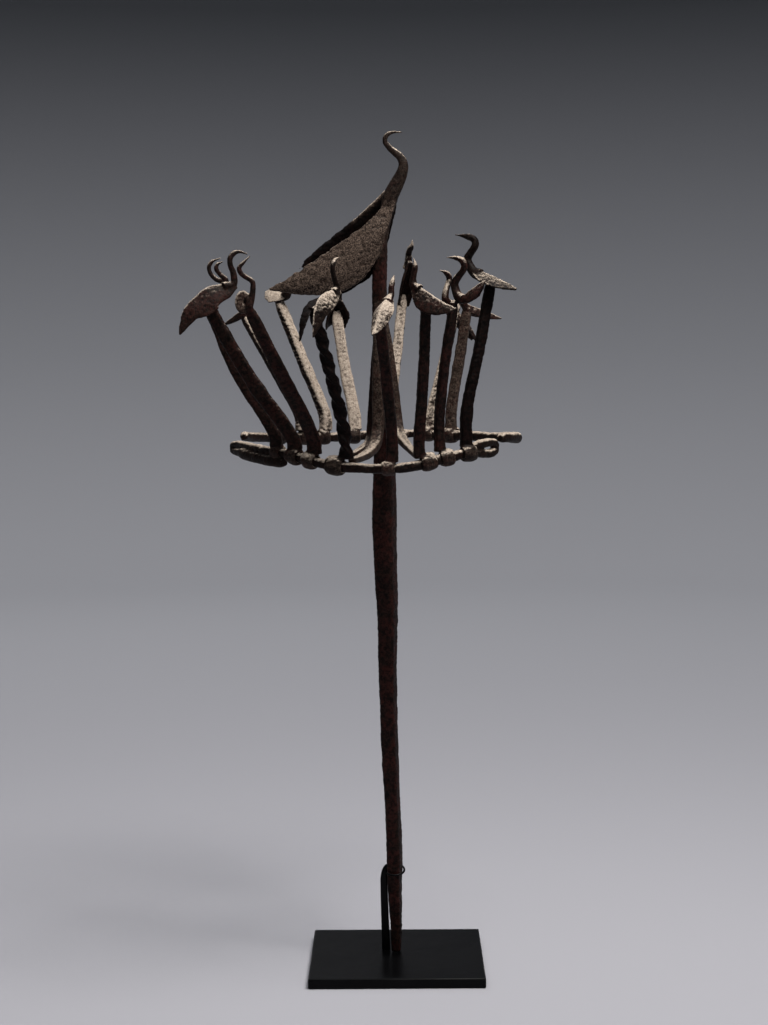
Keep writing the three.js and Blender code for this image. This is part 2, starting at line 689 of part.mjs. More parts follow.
// A ragged strip that hangs free beside the body.
function birdPlume(points, forward) {
  const left = new THREE.Vector3().crossVectors(UP, forward);
  const route = points.map((p, i) => p.clone().addScaledVector(left, PLUME.aside * Math.min(1, i / 2)));
  const outlineAt = (t) => {
    const bulge = Math.sin(Math.PI * (PLUME.narrowest + PLUME.spread * t));
    const width = PLUME.wide * Math.max(PLUME.narrowest, bulge);
    return squareOutline(width, PLUME.thick);
  };
  return sweptBar(sampled(route, BODY_STEPS), outlineAt, forward);
}

function bird(row) {
  const { rod: name, foot, lean, toward, rise, wrap, face, girth } = row;
  const centre = onRod(name, foot);
  const diameter = courseRow(name, foot)[3];
  const base = centre.clone().addScaledVector(UP, diameter / 2 + FOOT_GAP + wrap[2] / 2);
  const perch = centre.clone().addScaledVector(along(toward), lean).addScaledVector(UP, rise);
  const forward = along(face);
  const inPlane = ([f, h]) => perch.clone().addScaledVector(forward, f).addScaledVector(UP, h);
  const pieces = [birdFoot(name, wrap)];
  if (row.disc) {
    const neck = birdNeck(row.neck.map(inPlane), forward, girth);
    pieces.push(birdStem(row, base, perch, perch), birdDisc(row.disc, perch, forward), neck);
  } else {
    const ridge = row.ridge.map(inPlane);
    const fold = sampled(ridge, FOLD_READINGS);
    const ahead = ({ at }) => Math.abs(at.clone().sub(perch).dot(forward));
    const seat = fold.reduce((a, b) => (ahead(b) < ahead(a) ? b : a));
    const stemTop = seat.at.clone().addScaledVector(UP, -seatDepth(row, seat.t));
    const nape = fold[NAPE].at.clone().addScaledVector(UP, -girth / 3);
    const neck = birdNeck([nape, ...row.neck.map(inPlane)], forward, girth);
    pieces.push(birdStem(row, base, perch, stemTop), birdBody(ridge, forward, row), neck);
  }
  if (row.plume) pieces.push(birdPlume(row.plume.map(inPlane), forward));
  return joined(pieces).subtract(CLEARANCE[name]);
}

function meshOf(name, solid, look) {
  const { vertProperties, triVerts } = solid.getMesh();
  const geometry = new THREE.BufferGeometry()
    .setAttribute("position", new THREE.BufferAttribute(vertProperties, 3))
    .setIndex(new THREE.BufferAttribute(triVerts, 1));
  geometry.computeVertexNormals();
  const mesh = new THREE.Mesh(geometry, new THREE.MeshStandardMaterial(look));
  mesh.name = name;
  return mesh;
}

const CLEARANCE = { front: rodLoft(RODS.front, FOOT_GAP), back: rodLoft(RODS.back, FOOT_GAP) };

const group = new THREE.Group();
group.add(
  meshOf("stand_plate", standPlate(), BLACK_PAINT),
  meshOf("stand_upright", standUpright(), BLACK_PAINT),
  meshOf("staff", staff(), IRON),
  meshOf("ring_front_rod", rodLoft(RODS.front, 0), IRON),
  meshOf("ring_back_rod", rodLoft(RODS.back, 0), IRON),
);
BIRDS.forEach((row, i) => {
  const name = "bird_" + String(i + 1).padStart(2, "0");
  group.add(meshOf(name, bird(row), IRON));
});

export default group;
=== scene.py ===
"""The looks of a forged iron staff crowned by a large bird above a ring of small birds, on its stand.

Shapes are drawn in millimetres and become metres when their mesh is made. An azimuth is in degrees round
the ring: 0 is the front (-Y), 90 is +X and 180 is the back. Every iron piece is drawn as closed skins over
smooth courses, then fused, softened and hammered.
"""

import itertools
import math

import bpy
import numpy as np
from mathutils import Matrix, Vector
from mathutils.kdtree import KDTree

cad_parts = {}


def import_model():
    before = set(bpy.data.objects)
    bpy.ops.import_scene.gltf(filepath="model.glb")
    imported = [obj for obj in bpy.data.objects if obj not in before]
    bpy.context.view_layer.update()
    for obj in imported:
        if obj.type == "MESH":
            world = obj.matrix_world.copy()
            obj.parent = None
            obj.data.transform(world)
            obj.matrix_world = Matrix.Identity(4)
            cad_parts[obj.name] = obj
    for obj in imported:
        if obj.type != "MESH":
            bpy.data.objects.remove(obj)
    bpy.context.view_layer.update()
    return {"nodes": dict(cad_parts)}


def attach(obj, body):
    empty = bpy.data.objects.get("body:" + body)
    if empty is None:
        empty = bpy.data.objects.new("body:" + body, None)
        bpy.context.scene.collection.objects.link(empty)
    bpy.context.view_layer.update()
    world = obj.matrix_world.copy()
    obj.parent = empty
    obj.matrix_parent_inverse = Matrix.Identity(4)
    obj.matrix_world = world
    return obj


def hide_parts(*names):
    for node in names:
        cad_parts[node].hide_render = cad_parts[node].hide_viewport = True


MM = 0.001
UP = np.array([0.0, 0.0, 1.0])

# Camera: its place, its heading, its downward tilt and its roll, and its lens and sensor
CAMERA_AT = (1.457, -1793.07, 540.69)
CAMERA_HEADING = 0.3166
CAMERA_TILT = 4.3897
CAMERA_ROLL = -0.445
LENS = 72.0
SENSOR = 36

# Display stand: the flat upright's stations (x, height, width), the wire loop at its top, and the
# plate's chamfer and the gap within which its solid's corners are joined
PLATE_TOP = 9.3
UPRIGHT_DEEP = 5
UPRIGHT_Y = 10.4
UPRIGHT = [
    (-9.6, PLATE_TOP, 7.4), (-11.1, 68, 6.4), (-11.1, 76, 6), (-10.2, 81.5, 5),
    (-8.6, 85.2, 3.6), (-7.6, 86.2, 2.8),
]
WIRE = 2.0
LOOP_CENTRE = (-1.4, 6, 83)
LOOP_RADIUS = 8.6
LOOP_DIP = 3
LOOP_START = 236
LOOP_SWEEP = 292
LOOP_POINTS = 15
PLATE_CHAMFER = 0.5
CORNER_GAP = 0.01

# Shaft stations: centre x, height, bar side. One corner of the square bar looks towards the viewer.
SHAFT_Y = 6
SHAFT_TURN = 20
SHAFT = [
    (-0.5, PLATE_TOP, 7.6), (-0.4, 28, 8.8), (-1.4, 64, 11.3), (-1.5, 98, 12.9),
    (-3.0, 146, 12.4), (-4.8, 191, 13.5), (-6.1, 254, 14.2), (-6.1, 307, 16.0),
    (-7.1, 347, 17.7), (-8.0, 387, 19.2), (-8.1, 414, 18.8), (-7.8, 440, 17.2),
    (-8.2, 480, 14.5), (-9.6, 550, 12.8), (-11.0, 590, 12.0), (-10.4, 618, 11.0),
    (-8.8, 642, 9.6),
]

# Large bird: neck stations (x, height, thickness), then its two body plates. A plate's upper and lower
# edges run from the tail tip to the neck, each as x and height, and it bulges away from the shaft.
NECK = [
    (-9.0, 636, 9.0), (-4.6, 664, 11.5), (-0.3, 679, 13.4), (4.2, 688, 12.4),
    (8.4, 696.5, 10.8), (10.7, 704.5, 8.6), (8.7, 711.3, 7.2), (3.9, 715.8, 6.3),
    (-1.4, 720.2, 5.2), (-5.2, 725.8, 4.6), (-3.9, 730.6, 4.0), (1.4, 733.4, 3.0),
    (10.6, 733.2, 1.3),
]
PLATE_SHEET = 2.4
NECK_FLAT = 0.88
NEAR_PLATE = {
    "y": -2.6,
    "bulge": -4,
    "upper": [(-107, 599), (-86, 611), (-66, 624), (-35, 645), (-12, 664), (-2, 680)],
    "lower": [
        (-106, 597.5), (-90, 595), (-65, 593), (-44, 596), (-24, 607.5), (-11, 628), (-2, 655), (5, 676),
    ],
}
FAR_PLATE = {
    "y": 14.6,
    "bulge": 3.5,
    "upper": [(-79, 619.5), (-68, 630), (-43, 650), (-26, 663.5), (-13, 674), (-3, 684)],
    "lower": [(-78, 618), (-70, 604), (-47, 594.5), (-31, 600.5), (-17, 611), (-7, 628), (1, 655), (6, 678)],
}

# Arms from the shaft to the ring: where an arm leaves the shaft, where it starts to sweep, its sweep as
# shares of the way out and drops, and where it ends as azimuth, radius and height. size is its width and
# depth, of which ARM_SIZES gives the share at each station. look is for an arm with painted shade: the arm
# behind the front-left one is given a darker look for the shade it lies in.
ARMS = [
    {
        "leaves": (-12, 1, 580), "sweeps": (-13.1, -5, 479),
        "sweep": [(0.03, -7), (0.1, -14.6), (0.33, -21.2), (0.65, -24.2)],
        "ends": (-12.9, 113.2, 453.8), "size": (10.5, 9.2),
    },
    {
        "leaves": (-8, 1, 580), "sweeps": (3.8, -5, 484),
        "sweep": [(0.05, -7.5), (0.15, -13.3), (0.47, -19.7), (0.76, -23.9)],
        "ends": (15.2, 111.2, 457), "size": (9.5, 8),
    },
    {
        "leaves": (-12, 9, 575), "sweeps": (-18.8, 4, 476),
        "sweep": [(0.03, -6.7), (0.11, -12), (0.36, -16), (0.65, -18.4)],
        "ends": (-17.6, 108, 456.4), "size": (8.5, 7), "look": "shaded_arm",
    },
    {
        "leaves": (-7.5, 12, 570), "sweeps": (2.5, 16.5, 486),
        "sweep": [(0.03, -7), (0.1, -13), (0.35, -17.5), (0.65, -18.5)],
        "ends": (169, 112.5, 468.5), "size": (10, 8),
    },
]
ARM_ROOT = 16
ARM_MIDDLE = 0.4
ARM_SIZES = (0.45, 0.62, 0.95, 1, 1, 1, 0.85, 0.68, 0.6)

# Ring: its centre, then the two rods' courses as azimuth, radius, height and rod diameter
RING_CENTRE = np.array([-9.0, 6.0, 0.0])
FRONT_COURSE = [
    (-80, 127, 464.6, 6.2), (-60, 122.5, 462.6, 7), (-45, 120, 460, 7.2), (-32, 120, 455.2, 8.2),
    (-20, 120, 450, 8.4), (-8, 120, 448.2, 8.2), (2, 120, 448, 8), (11, 120, 449, 8.2),
    (19, 120, 452.8, 8.6), (28, 120, 456.2, 8.8), (37, 120, 458.9, 7.8), (48, 118, 457.4, 6.8),
]
LEFT_RETURN = [
    (-41.5, 120.8, 451.4, 6.4), (-45, 121, 452, 8.8), (-51, 122.2, 453.2, 9.6), (-60, 124, 455.2, 9.6),
    (-70, 126.6, 457.4, 8.8), (-75, 128, 458.2, 6.8),
]
LEFT_HAIRPIN = [
    (-82, 129.8, 458.1, 5.8), (-84.4, 131, 459.3, 5.7), (-85.4, 131.4, 461.6, 5.7),
    (-84.4, 130.6, 463.9, 5.8),
]
RIGHT_HAIRPIN = [
    (52.5, 116, 457.6, 7), (55.4, 114.8, 459.4, 7), (56.6, 114.2, 462.4, 6.8), (55.2, 114.8, 465.4, 7),
    (52, 116, 466.8, 7.2),
]
RIGHT_RETURN = [(47, 117.6, 466.8, 7.4), (42, 118.8, 465.2, 7.2), (38.5, 119.4, 463.6, 6)]
BACK_COURSE = [
    (56, 119.6, 470.4, 8.2), (66, 119, 469.8, 8.4), (80, 117.5, 468.4, 9), (95, 117, 467.4, 9.4),
    (105, 118.5, 467, 8.8), (120, 120, 466, 8.4), (135, 120, 466, 8.4), (150, 120, 466.4, 8.4),
    (165, 120, 467.4, 8.4), (180, 120, 467, 8.4), (195, 120, 465.2, 8.2), (210, 120, 465, 8.4),
    (225, 120, 465.8, 8.4), (240, 120, 467, 8.2), (255, 120.5, 468.6, 8), (268, 121, 470.4, 7.6),
    (280, 121.6, 471.4, 7),
]
COURSES = {"front": FRONT_COURSE, "back": BACK_COURSE}
RODS = {
    "front": [*LEFT_RETURN, *LEFT_HAIRPIN, *FRONT_COURSE, *RIGHT_HAIRPIN, *RIGHT_RETURN],
    "back": BACK_COURSE,
}
FOOT_GAP = 0.4

# Small birds. Stem: foot azimuth on the ring rod, then how far its perch leans out, towards which azimuth,
# and how far it rises. The stem stands upright over its ankle before it leans. bar is its width, its depth
# and the azimuth that its wide face looks to, and twist how far it is twisted on the way up. aside shifts
# its foot, ankle, middle and top along x. wrap is the azimuth, width and wall of the foot round the rod.
# Neck and ridge are drawn in the upright plane that the bird faces along: forward and up from the perch.
# wing is the reach of the left and right wing and how steeply they hang, fullest where they are widest,
# tail the share of that left at the tip, and girth the neck's thickness. plume is a separate strip beside
# the body, and disc a flat oval body with a hole in it. iron is how pale the stem, body, neck and foot
# are, a paleness that is partly painted light on their upward faces, and how red they all are, and grey
# how grey a stem is that differs from the others.
BIRDS = [
    {
        "foot": -44.7, "perch": [67, 249, 117], "aside": [-4.2, -4.2, -4, 0], "ankle": 10, "bar": [11, 8, -8],
        "wrap": [-46.5, 13, 2.2], "face": 100,
        "neck": [[16, 27.5], [11, 33], [8, 37.5], [9, 41], [13.5, 43.5]],
        "ridge": [[18, 27], [6.5, 19], [-4, 11], [-9, 3]],
        "wing": [10, 10, 62], "girth": 5, "iron": [0.12, 0, 0.1, 0.15, 0.25],
    },
    {
        "foot": -37.2, "perch": [72, 280, 119], "ankle": 7, "bar": [12, 8, -10],
        "wrap": [-37.5, 13, 3.4], "face": 112,
        "neck": [[23.5, 24], [23.5, 33], [21, 39.5], [21, 45], [24, 49], [28.5, 50.5], [36, 48.5]],
        "ridge": [[25, 26.5], [15.5, 24], [1.5, 21.5], [-9, 14], [-20, 2], [-24, -17.5]],
        "wing": [20, 20, 66], "girth": 6, "iron": [0.12, 0.3, 0.1, 0.15, 0.45],
    },
    {
        "foot": -27.9, "perch": [71, 314, 123], "aside": [0, 0, 2.2, 1.2],
        "ankle": 12, "bar": [11.6, 7.6, -20], "wrap": [-29.5, 12, 3.4], "face": 100,
        "neck": [[2, 3], [4.5, 11], [5.5, 18.5], [5, 23.5], [-3.5, 29.5], [-5.5, 34], [-1.5, 39], [3.5, 44]],
        "disc": {"centre": [-2.8, 7.4], "size": [12.6, 18.5], "hole": [-0.6, 7.2], "bore": [4.4, 5.8]},
        "girth": 5, "iron": [0.25, 0.62, 0.15, 0.5, 0.5],
    },
    {
        "foot": -14.1, "perch": [41, 331, 137],
        "ankle": 26, "bar": [10.6, 8, 10], "aside": [0, -2, -3.6, -4.2],
        "twist": 1150, "wrap": [-18.5, 14.5, 4], "face": 150,
        "neck": [[27.5, 8.5], [25, 14], [22, 19.5], [21, 26.5], [24.5, 31.5], [31.5, 34]],
        "ridge": [[30.5, 9], [15, 6.5], [1, 1.5], [-6.5, -7.5], [-9.5, -18.5], [-10.5, -31.5]],
        "wing": [10, 15, 62], "girth": 5,
        "plume": [[20, 3], [7, -2], [-3, -8], [-10, -16], [-14, -25], [-17, -34]],
        "iron": [-0.2, 0.6, 0.2, 0.3, 0.05], "grey": 0,
    },
    {
        "foot": 3.9, "perch": [39, 346, 135], "ankle": 19, "bar": [9.8, 8, -6],
        "wrap": [2.6, 11, 1.2], "face": 158,
        "neck": [[25.5, 6], [26.5, 12.5], [29, 17], [32.5, 22]],
        "ridge": [[23.5, 5], [5, -3.5], [-2.5, -12], [-9, -20], [-15.5, -26.5]],
        "wing": [11, 11, 38], "girth": 6, "iron": [0.05, 0.55, 0.25, 0.35, 0.55],
    },
    {
        "foot": 14.6, "perch": [25, 16, 124], "ankle": 16, "bar": [9.6, 8, 12],
        "wrap": [18.6, 13.5, 3.4], "face": 236,
        "neck": [[13.5, 23], [12.5, 30.5], [11, 37.5], [12.5, 44]],
        "ridge": [[13, 24], [3.5, 19], [-12.5, 9.5], [-20, 6], [-28.5, 3]],
        "wing": [16, 12, 62], "girth": 6, "iron": [0, 0.35, 0.3, 0.3, 0.3],
    },
    {
        "foot": 24.5, "perch": [22, 36, 125], "ankle": 26, "bar": [8.8, 7, 34], "aside": [-2.2, -3.2, -5, -4],
        "wrap": [26.4, 12.5, 3], "face": 236,
        "neck": [[-1, 7], [2.5, 13.5], [3, 19], [-6, 31], [-4, 36.5], [2.5, 39], [11, 39.5]],
        "ridge": [[-1, 5], [-13.5, 14], [-25.5, 20.5]],
        "wing": [11, 9, 60], "girth": 7, "iron": [0.05, 0.3, 0.25, 0.3, 0.6],
    },
    {
        "foot": 35.4, "perch": [23, 110, 140], "ankle": 30, "bar": [9.8, 8, 22],
        "wrap": [36.5, 15, 3.6], "face": 240,
        "neck": [[15, 10], [20, 16], [22, 21.5], [14.5, 33], [15.5, 37.5], [21.5, 40], [33.5, 42]],
        "ridge": [[16, 12.5], [7.5, 10], [-8.5, 3.5], [-24, -4]],
        "wing": [14, 14, 24], "girth": 8, "iron": [-0.3, 0.1, -0.3, 0.2, 0.05], "grey": 0,
    },
    {
        "foot": 148.6, "perch": [16, 103, 119], "ankle": 18, "bar": [10.5, 8, -22],
        "wrap": [149, 15, 3.4], "face": 300,
        "neck": [[9, 7.5], [13.5, 14], [15, 20.5], [12, 26], [7.5, 31.5], [6, 36]],
        "ridge": [[8.5, 7.5], [-3.5, 1], [-21, -4.5], [-38.5, -11]],
        "wing": [9, 9, 60], "girth": 6, "iron": [0.15, 0.3, 0.3, 0.35, 0.5], "grey": 0.65,
    },
    {
        "foot": 159.3, "perch": [24, 138, 123], "aside": [0, 1.5, 7, 10], "ankle": 12, "bar": [10.5, 8, -10],
        "wrap": [160, 13, 3.2], "face": 320,
        "neck": [[-0.5, 2.5], [-1, 9], [-6.5, 22.5], [-1.5, 27], [8, 29]],
        "ridge": [[-1.5, 3.5], [-10.5, -2], [-22, -10.5], [-36, -20], [-47, -33]],
        "wing": [12, 12, 60], "tail": 0.5, "girth": 7, "iron": [0.82, 0.5, 0.5, 0.4, 0.5],
    },
    {
        "foot": 177.1, "perch": [27, 151, 126], "ankle": 13, "bar": [10.5, 8, 0],
        "wrap": [177, 13, 3.2], "face": 20,
        "neck": [[15.5, 37], [17, 43.5], [24, 48.5], [26.5, 54]],
        "ridge": [[17, 36], [9, 25], [-1, 10.5], [-7, -3.5]],
        "wing": [15, 15, 58], "tail": 0.7, "girth": 7, "iron": [0.95, 0, 0.75, 0.3, 0.15],
    },
    {
        "foot": 192.8, "perch": [24, 226, 107], "ankle": 12, "bar": [11.5, 8, 5],
        "wrap": [193.5, 13, 3.2], "face": 20,
        "neck": [[6.5, 23.5], [11, 33], [8.5, 42], [13, 47], [22, 46]],
        "ridge": [[8, 22.5], [2, 18], [-4.5, 12], [-14, -2]],
        "wing": [18, 18, 50], "tail": 0.8, "girth": 7, "iron": [1.08, 0.1, 0.2, 0.1, 0.1],
    },
    {
        "foot": 206.5, "perch": [46, 252, 130], "ankle": 13, "bar": [11, 9.5, 52],
        "wrap": [207.5, 13, 3.2], "face": 60,
        "neck": [[11, 5], [19, 10], [25.5, 17.5], [33, 21], [42, 19]],
        "ridge": [[12, 2], [3, 5.5], [-6.5, 8], [-14.5, 6]],
        "wing": [15, 15, 58], "tail": 0.5, "fullest": 0.7, "girth": 7, "iron": [0.92, 1, 0.2, 0.35, 0.2],
    },
    {
        "foot": 220.5, "perch": [51, 271, 117],
        "ankle": 12, "bar": [10.5, 8, 50], "aside": [2.4, 2.4, 2, 1.2], "wrap": [217.5, 11, 3.2], "face": 60,
        "neck": [[4.5, 3], [5.5, 6], [6.5, 9], [9, 11.5], [12.5, 11.5]],
        "ridge": [[5.5, 3], [-4.5, -2], [-22, -13]],
        "wing": [7, 7, 62], "fullest": 0.2, "girth": 5, "iron": [0.85, 0.2, 0.2, 0.3, 0.3],
    },
    {
        "foot": 232, "perch": [66.5, 288.4, 117.5], "ankle": 12, "bar": [7.6, 6.5, 20],
        "wrap": [231.5, 11, 3.2], "face": 95,
        "neck": [[16.7, 23.8], [9.7, 25.3], [3.9, 30.8], [2.4, 36.8], [5.4, 41.8], [12.9, 44.8]],
        "ridge": [[19.4, 23.8], [7.9, 16.8], [-3.1, 7.8]],
        "wing": [13, 13, 62], "girth": 5, "iron": [0.3, 0.25, 0.15, 0.3, 0.2],
    },
]
SHEET = 2.0
BEAK_TIP = 1.3
NECK_FULLNESS = 0.7
WING_FULLEST = 0.42
TAIL_SHARE = 0.08
WING_RAGGED = 0.05
WING_CUP = 0.07
FOLD_GAP = 0.12
DISC_THICK = 3
DISC_SEAT = 3
# The piece behind a disc's hole, there as painted shade: how far behind, how tall, and its width and depth
BACKING_BEHIND = 2.6
BACKING_TALL = 13
BACKING = (7.5, 3)
PLUME_ASIDE = 8
PLUME_WIDE = 10
PLUME_THICK = 1.8
FOLD_RISE = 0.6
STEM_TAPER = 0.12
BEND_OUT = 1.5
LAP_START = 100
LAP_TURNS = 1.22

# Burrs left by the hammer: start, end and thickness
BURRS = [
    ((-75, 15, 620.5), (-81.5, 15.4, 616.5), 2.2),
    ((-11, 15, 668), (-18.5, 15.5, 663), 2.4),
]

# The far plate's rolled edge: how thick its rim and its lip are, the steps of the plate's upper edge from
# the tail, and the stretch of them that each follows
RIM = 2.6
LIP = 5.8
EDGE_STEPS = 60
RIM_SPAN = slice(2, 56, 6)
LIP_SPAN = slice(35, 60, 6)

# Each kind of bar: how square its outline is, from 2 for round, the outline's sides, and the steps that
# it is drawn in along its course
FORMS = {
    "rod": (2.6, 20, 420), "shaft": (5, 32, 260), "large_neck": (2.3, 24, 90), "arm": (3.4, 24, 130),
    "rim": (2.2, 12, 60), "lip": (2.3, 14, 40), "burr": (2.5, 8, 8), "stem": (4, 28, 150),
    "twisted": (9, 28, 150), "neck": (2.5, 16, 56), "foot": (2.3, 24, 72), "disc": (7, 18, 64),
    "backing": (4, 16, 12), "plume": (3.5, 16, 50), "upright": (7, 28, 80), "wire": (2, 12, 90),
}
COURSE_STEPS = 24
PLATE_STEPS = 90
PLATE_STRIPS = 26
BODY_STEPS = 44
WING_STRIPS = 13
FOLD_STEPS = 20
TINY = 1e-6

# Voxel sizes that fuse the skins of each kind of piece, and how often the fused skin is smoothed
BIRD_VOXEL = 0.72
STAFF_VOXEL = 1.0
ROD_VOXEL = 0.85
UPRIGHT_VOXEL = 0.5
SOFTENING = 2

# Unevenness of the iron: sizes of dents, grain and pits, how the grain is stretched and bent, over how many
# vertices looks and edges are evened out, how far a sharp edge stands out, and the seeds
DENT_SIZE = 8
GRAIN_SIZE = 2.7
PIT_SIZE = 1.6
GRAIN_STRETCH = (0.6, 0.8, 1.5)
GRAIN_WARP = 2.2
WARP_SIZE = 6
LOOK_SPREAD = 5
EDGE_SPREAD = 8
SHARP_EDGE = 0.25
STAFF_SEED = 40
ROD_SEEDS = {"front": 5, "back": 4}

# Noise: the whole numbers that scatter its cells, their range, and how far apart the seeds lie
CELL_PRIMES = (73856093, 19349663, 83492791)
SCATTER = 1274126177
NOISE_RANGE = 0xFFFFFF
SEED_STRIDE = 31.7

# Looks of the parts: how pale, a paleness that is partly painted light, how grey, how red, how deep the
# dents and the pits. A bird's own row says how pale and how red its parts are.
STAFF_LOOKS = {
    "shaft": (0.15, 0.07, 0.75, 0.34, 0.28),
    "large_neck": (0.05, 0.25, 0.12, 0.2, 0.16),
    "near_plate": (-0.35, 1.2, 0.1, 0.2, 0.42),
    # Painted shade: the far plate is given bare black iron, darker than the near plate of the same body, for
    # the shade it lies in.
    "far_plate_shaded": (-0.6, 0, 0, 0.3, 0.34),
    "rim": (-0.6, 0, 0, 0.3, 0.4),
    "lip": (0.15, 0.8, 0.1, 0.2, 0.2),
    "arm": (-0.04, 0.5, 0.3, 0.2, 0.2),
    # Painted shade: the arm behind the front-left one is given a darker look for the shade it lies in.
    "shaded_arm": (-0.1, 0.1, 0.2, 0.2, 0.2),
}
ROD_LOOKS = {"rod": (0.3, 0.1, 0.12, 0.36, 0.32), "return": (0, 0.15, 0.1, 0.45, 0.34)}
PART_LOOKS = {
    "stem": (0.07, 0.26, 0.26),
    "body": (0.12, 0.2, 0.2),
    "neck": (0.1, 0.12, 0.12),
    "foot": (0.36, 0.42, 0.3),
    "disc": (0.8, 0.12, 0.1),
}
# Painted shade: the plume and the piece behind a disc's hole are given bare black iron with no pale crust,
# grey or red, for the shade they lie in.
PAINTED_SHADE_PARTS = {"plume": (-0.6, 0, 0, 0.3, 0.36), "hole_painted_shade": (-0.6, 0, 0, 0.1, 0.1)}

# Colours: bare iron and its brown scale, rust, a grey scale, the pale crust and painted top light, and the
# stand's paint
IRON_BLACK = (0.0012, 0.0005, 0.0004)
IRON_BROWN = (0.0135, 0.0052, 0.0040)
RUST_RED = (0.034, 0.008, 0.0065)
GREY_DARK = (0.005, 0.0032, 0.0026)
GREY_PALE = (0.15, 0.108, 0.084)
CRUST_AND_LIGHT_DEEP = (0.19, 0.145, 0.118)
CRUST_AND_LIGHT_PALE = (0.62, 0.525, 0.425)
PAINT_DEEP = (0.0006, 0.0006, 0.0008)
PAINT_PALE = (0.002, 0.002, 0.0024)

# Backdrop: the floor near and far, darker near the staff as painted shade, the wall from its foot to its top,
# darker towards its top as painted shade, the sky, and the sizes in metres
FLOOR_NEAR_SHADED = (0.415, 0.412, 0.448)
FLOOR_FAR = (0.575, 0.575, 0.61)
WALL_PALE = (0.375, 0.378, 0.403)
WALL_TOP_SHADED = (0.068, 0.072, 0.08)
SKY = (0.9, 0.93, 1.0)
SKY_STRENGTH = 0.02
FLOOR_RADIUS = 3.0
FLOOR_BEND = 1.6
WALL_TOP = 5.0
FLOOR_SIDES = 96

# Lights: place, target, size, power in watts, colour and spread
LIGHTS = {
    "overhead": ((0, 0.4, 4.8), (0, 0.4, 0), (7, 7), 175, (0.97, 0.98, 1.0), 180),
    "key": ((0.48, -0.52, 1.8), (-0.01, 0, 0.5), (0.6, 0.6), 20.5, (1.0, 0.97, 0.93), 150),
    "side_fill": ((1.6, -2.2, 1.2), (0, 0, 0.45), (1.0, 1.4), 2, (1, 1, 1), 180),
    "back_fill": ((-0.6, 2.3, 1.7), (0, 0, 0.5), (1.4, 1.2), 2, (1, 1, 1), 180),
}


def along(azimuth):
    a = math.radians(azimuth)
    return np.array([math.sin(a), -math.cos(a), 0.0])


def unit(vector):
    return vector / np.linalg.norm(vector)


def smoothstep(value, low, high):
    t = np.clip((value - low) / (high - low), 0, 1)
    return t * t * (3 - 2 * t)


def grain(points, size, seed):
    """Smooth noise from -1 to 1 at the points, with features of the given size."""
    scaled = np.asarray(points, float) / size + SEED_STRIDE * (seed + 1)
    cell = np.floor(scaled).astype(np.int64)
    offset = scaled - cell
    fade = offset * offset * (3 - 2 * offset)
    total = np.zeros(len(scaled))
    for corner in itertools.product((0, 1), repeat=3):
        lattice = (cell + corner) * CELL_PRIMES
        scattered = lattice[:, 0] ^ lattice[:, 1] ^ lattice[:, 2]
        scattered = ((scattered ^ (scattered >> 13)) * SCATTER) & NOISE_RANGE
        weight = np.prod(np.where(corner, fade, 1 - fade), axis=1)
        total += weight * (scattered / (NOISE_RANGE // 2) - 1)
    return total


def wobble(t, seed):
    """One number from -1 to 1 that wanders as t goes from 0 to 1."""
    return float(grain([[6 * t, 0.37, 0.61]], 1, seed)[0])


def course(points, steps):
    """Points and directions at equal steps of a smooth curve. Columns past the third go along with it."""
    points = np.asarray(points, float)
    padded = np.vstack([2 * points[0] - points[1], points, 2 * points[-1] - points[-2]])
    t = np.linspace(0, 1, COURSE_STEPS + 1)[:-1, None]
    fine = []
    for quad in zip(padded, padded[1:], padded[2:], padded[3:]):
        before, start, end, after = quad
        a, b, c = (max(np.linalg.norm((q - p)[:3]), TINY) ** 0.5 for p, q in zip(quad, quad[1:]))
        leave = ((start - before) / a - (end - before) / (a + b) + (end - start) / b) * b
        arrive = ((end - start) / b - (after - start) / (b + c) + (after - end) / c) * b
        rise = t * t * (3 - 2 * t)
        fine.append((1 - rise) * start + rise * end + (t * (1 - t) ** 2) * leave - (t * t * (1 - t)) * arrive)
    fine = np.vstack([*fine, points[-1:]])
    strides = np.linalg.norm(np.diff(fine[:, :3], axis=0), axis=1)
    reach = np.concatenate([[0], np.cumsum(strides)])
    marks = np.linspace(0, reach[-1], steps + 1)
    even = np.stack([np.interp(marks, reach, column) for column in fine.T], axis=1)
    directions = np.gradient(even[:, :3], axis=0)
    return even, directions / np.linalg.norm(directions, axis=1, keepdims=True)


def bar_outline(kind, wide, deep):
    """The outline of a bar: round at a squareness of 2, with ever sharper corners above it."""
    squareness, sides, _ = FORMS[kind]
    a = (np.arange(sides) + 0.5) / sides * 2 * math.pi
    c, s = np.cos(a), np.sin(a)
    r = (np.abs(c) ** squareness + np.abs(s) ** squareness) ** (-1 / squareness)
    return np.stack([wide / 2 * r * c, deep / 2 * r * s], axis=1)


def steps_of(kind):
    return FORMS[kind][2]


def placed(at, side, up, outline):
    outline = np.asarray(outline, float)
    return at + outline[:, :1] * side + outline[:, 1:] * up


def skin(sections, closed=False):
    """Vertices and faces of the skin over cross-sections of equal, even length."""
    sections = np.asarray(sections, float)
    rows, count, _ = sections.shape
    faces = []
    for s in range(rows if closed else rows - 1):
        near, far = s * count, (s + 1) % rows * count
        for i in range(count):
            j = (i + 1) % count
            faces.append((near + i, near + j, far + j, far + i))
    if not closed:
        last = (rows - 1) * count
        for i in range(count // 2 - 1):
            back = count - 1 - i
            faces.append((back, back - 1, i + 1, i))
            faces.append((last + i, last + i + 1, last + back - 1, last + back))
    return sections.reshape(-1, 3), faces


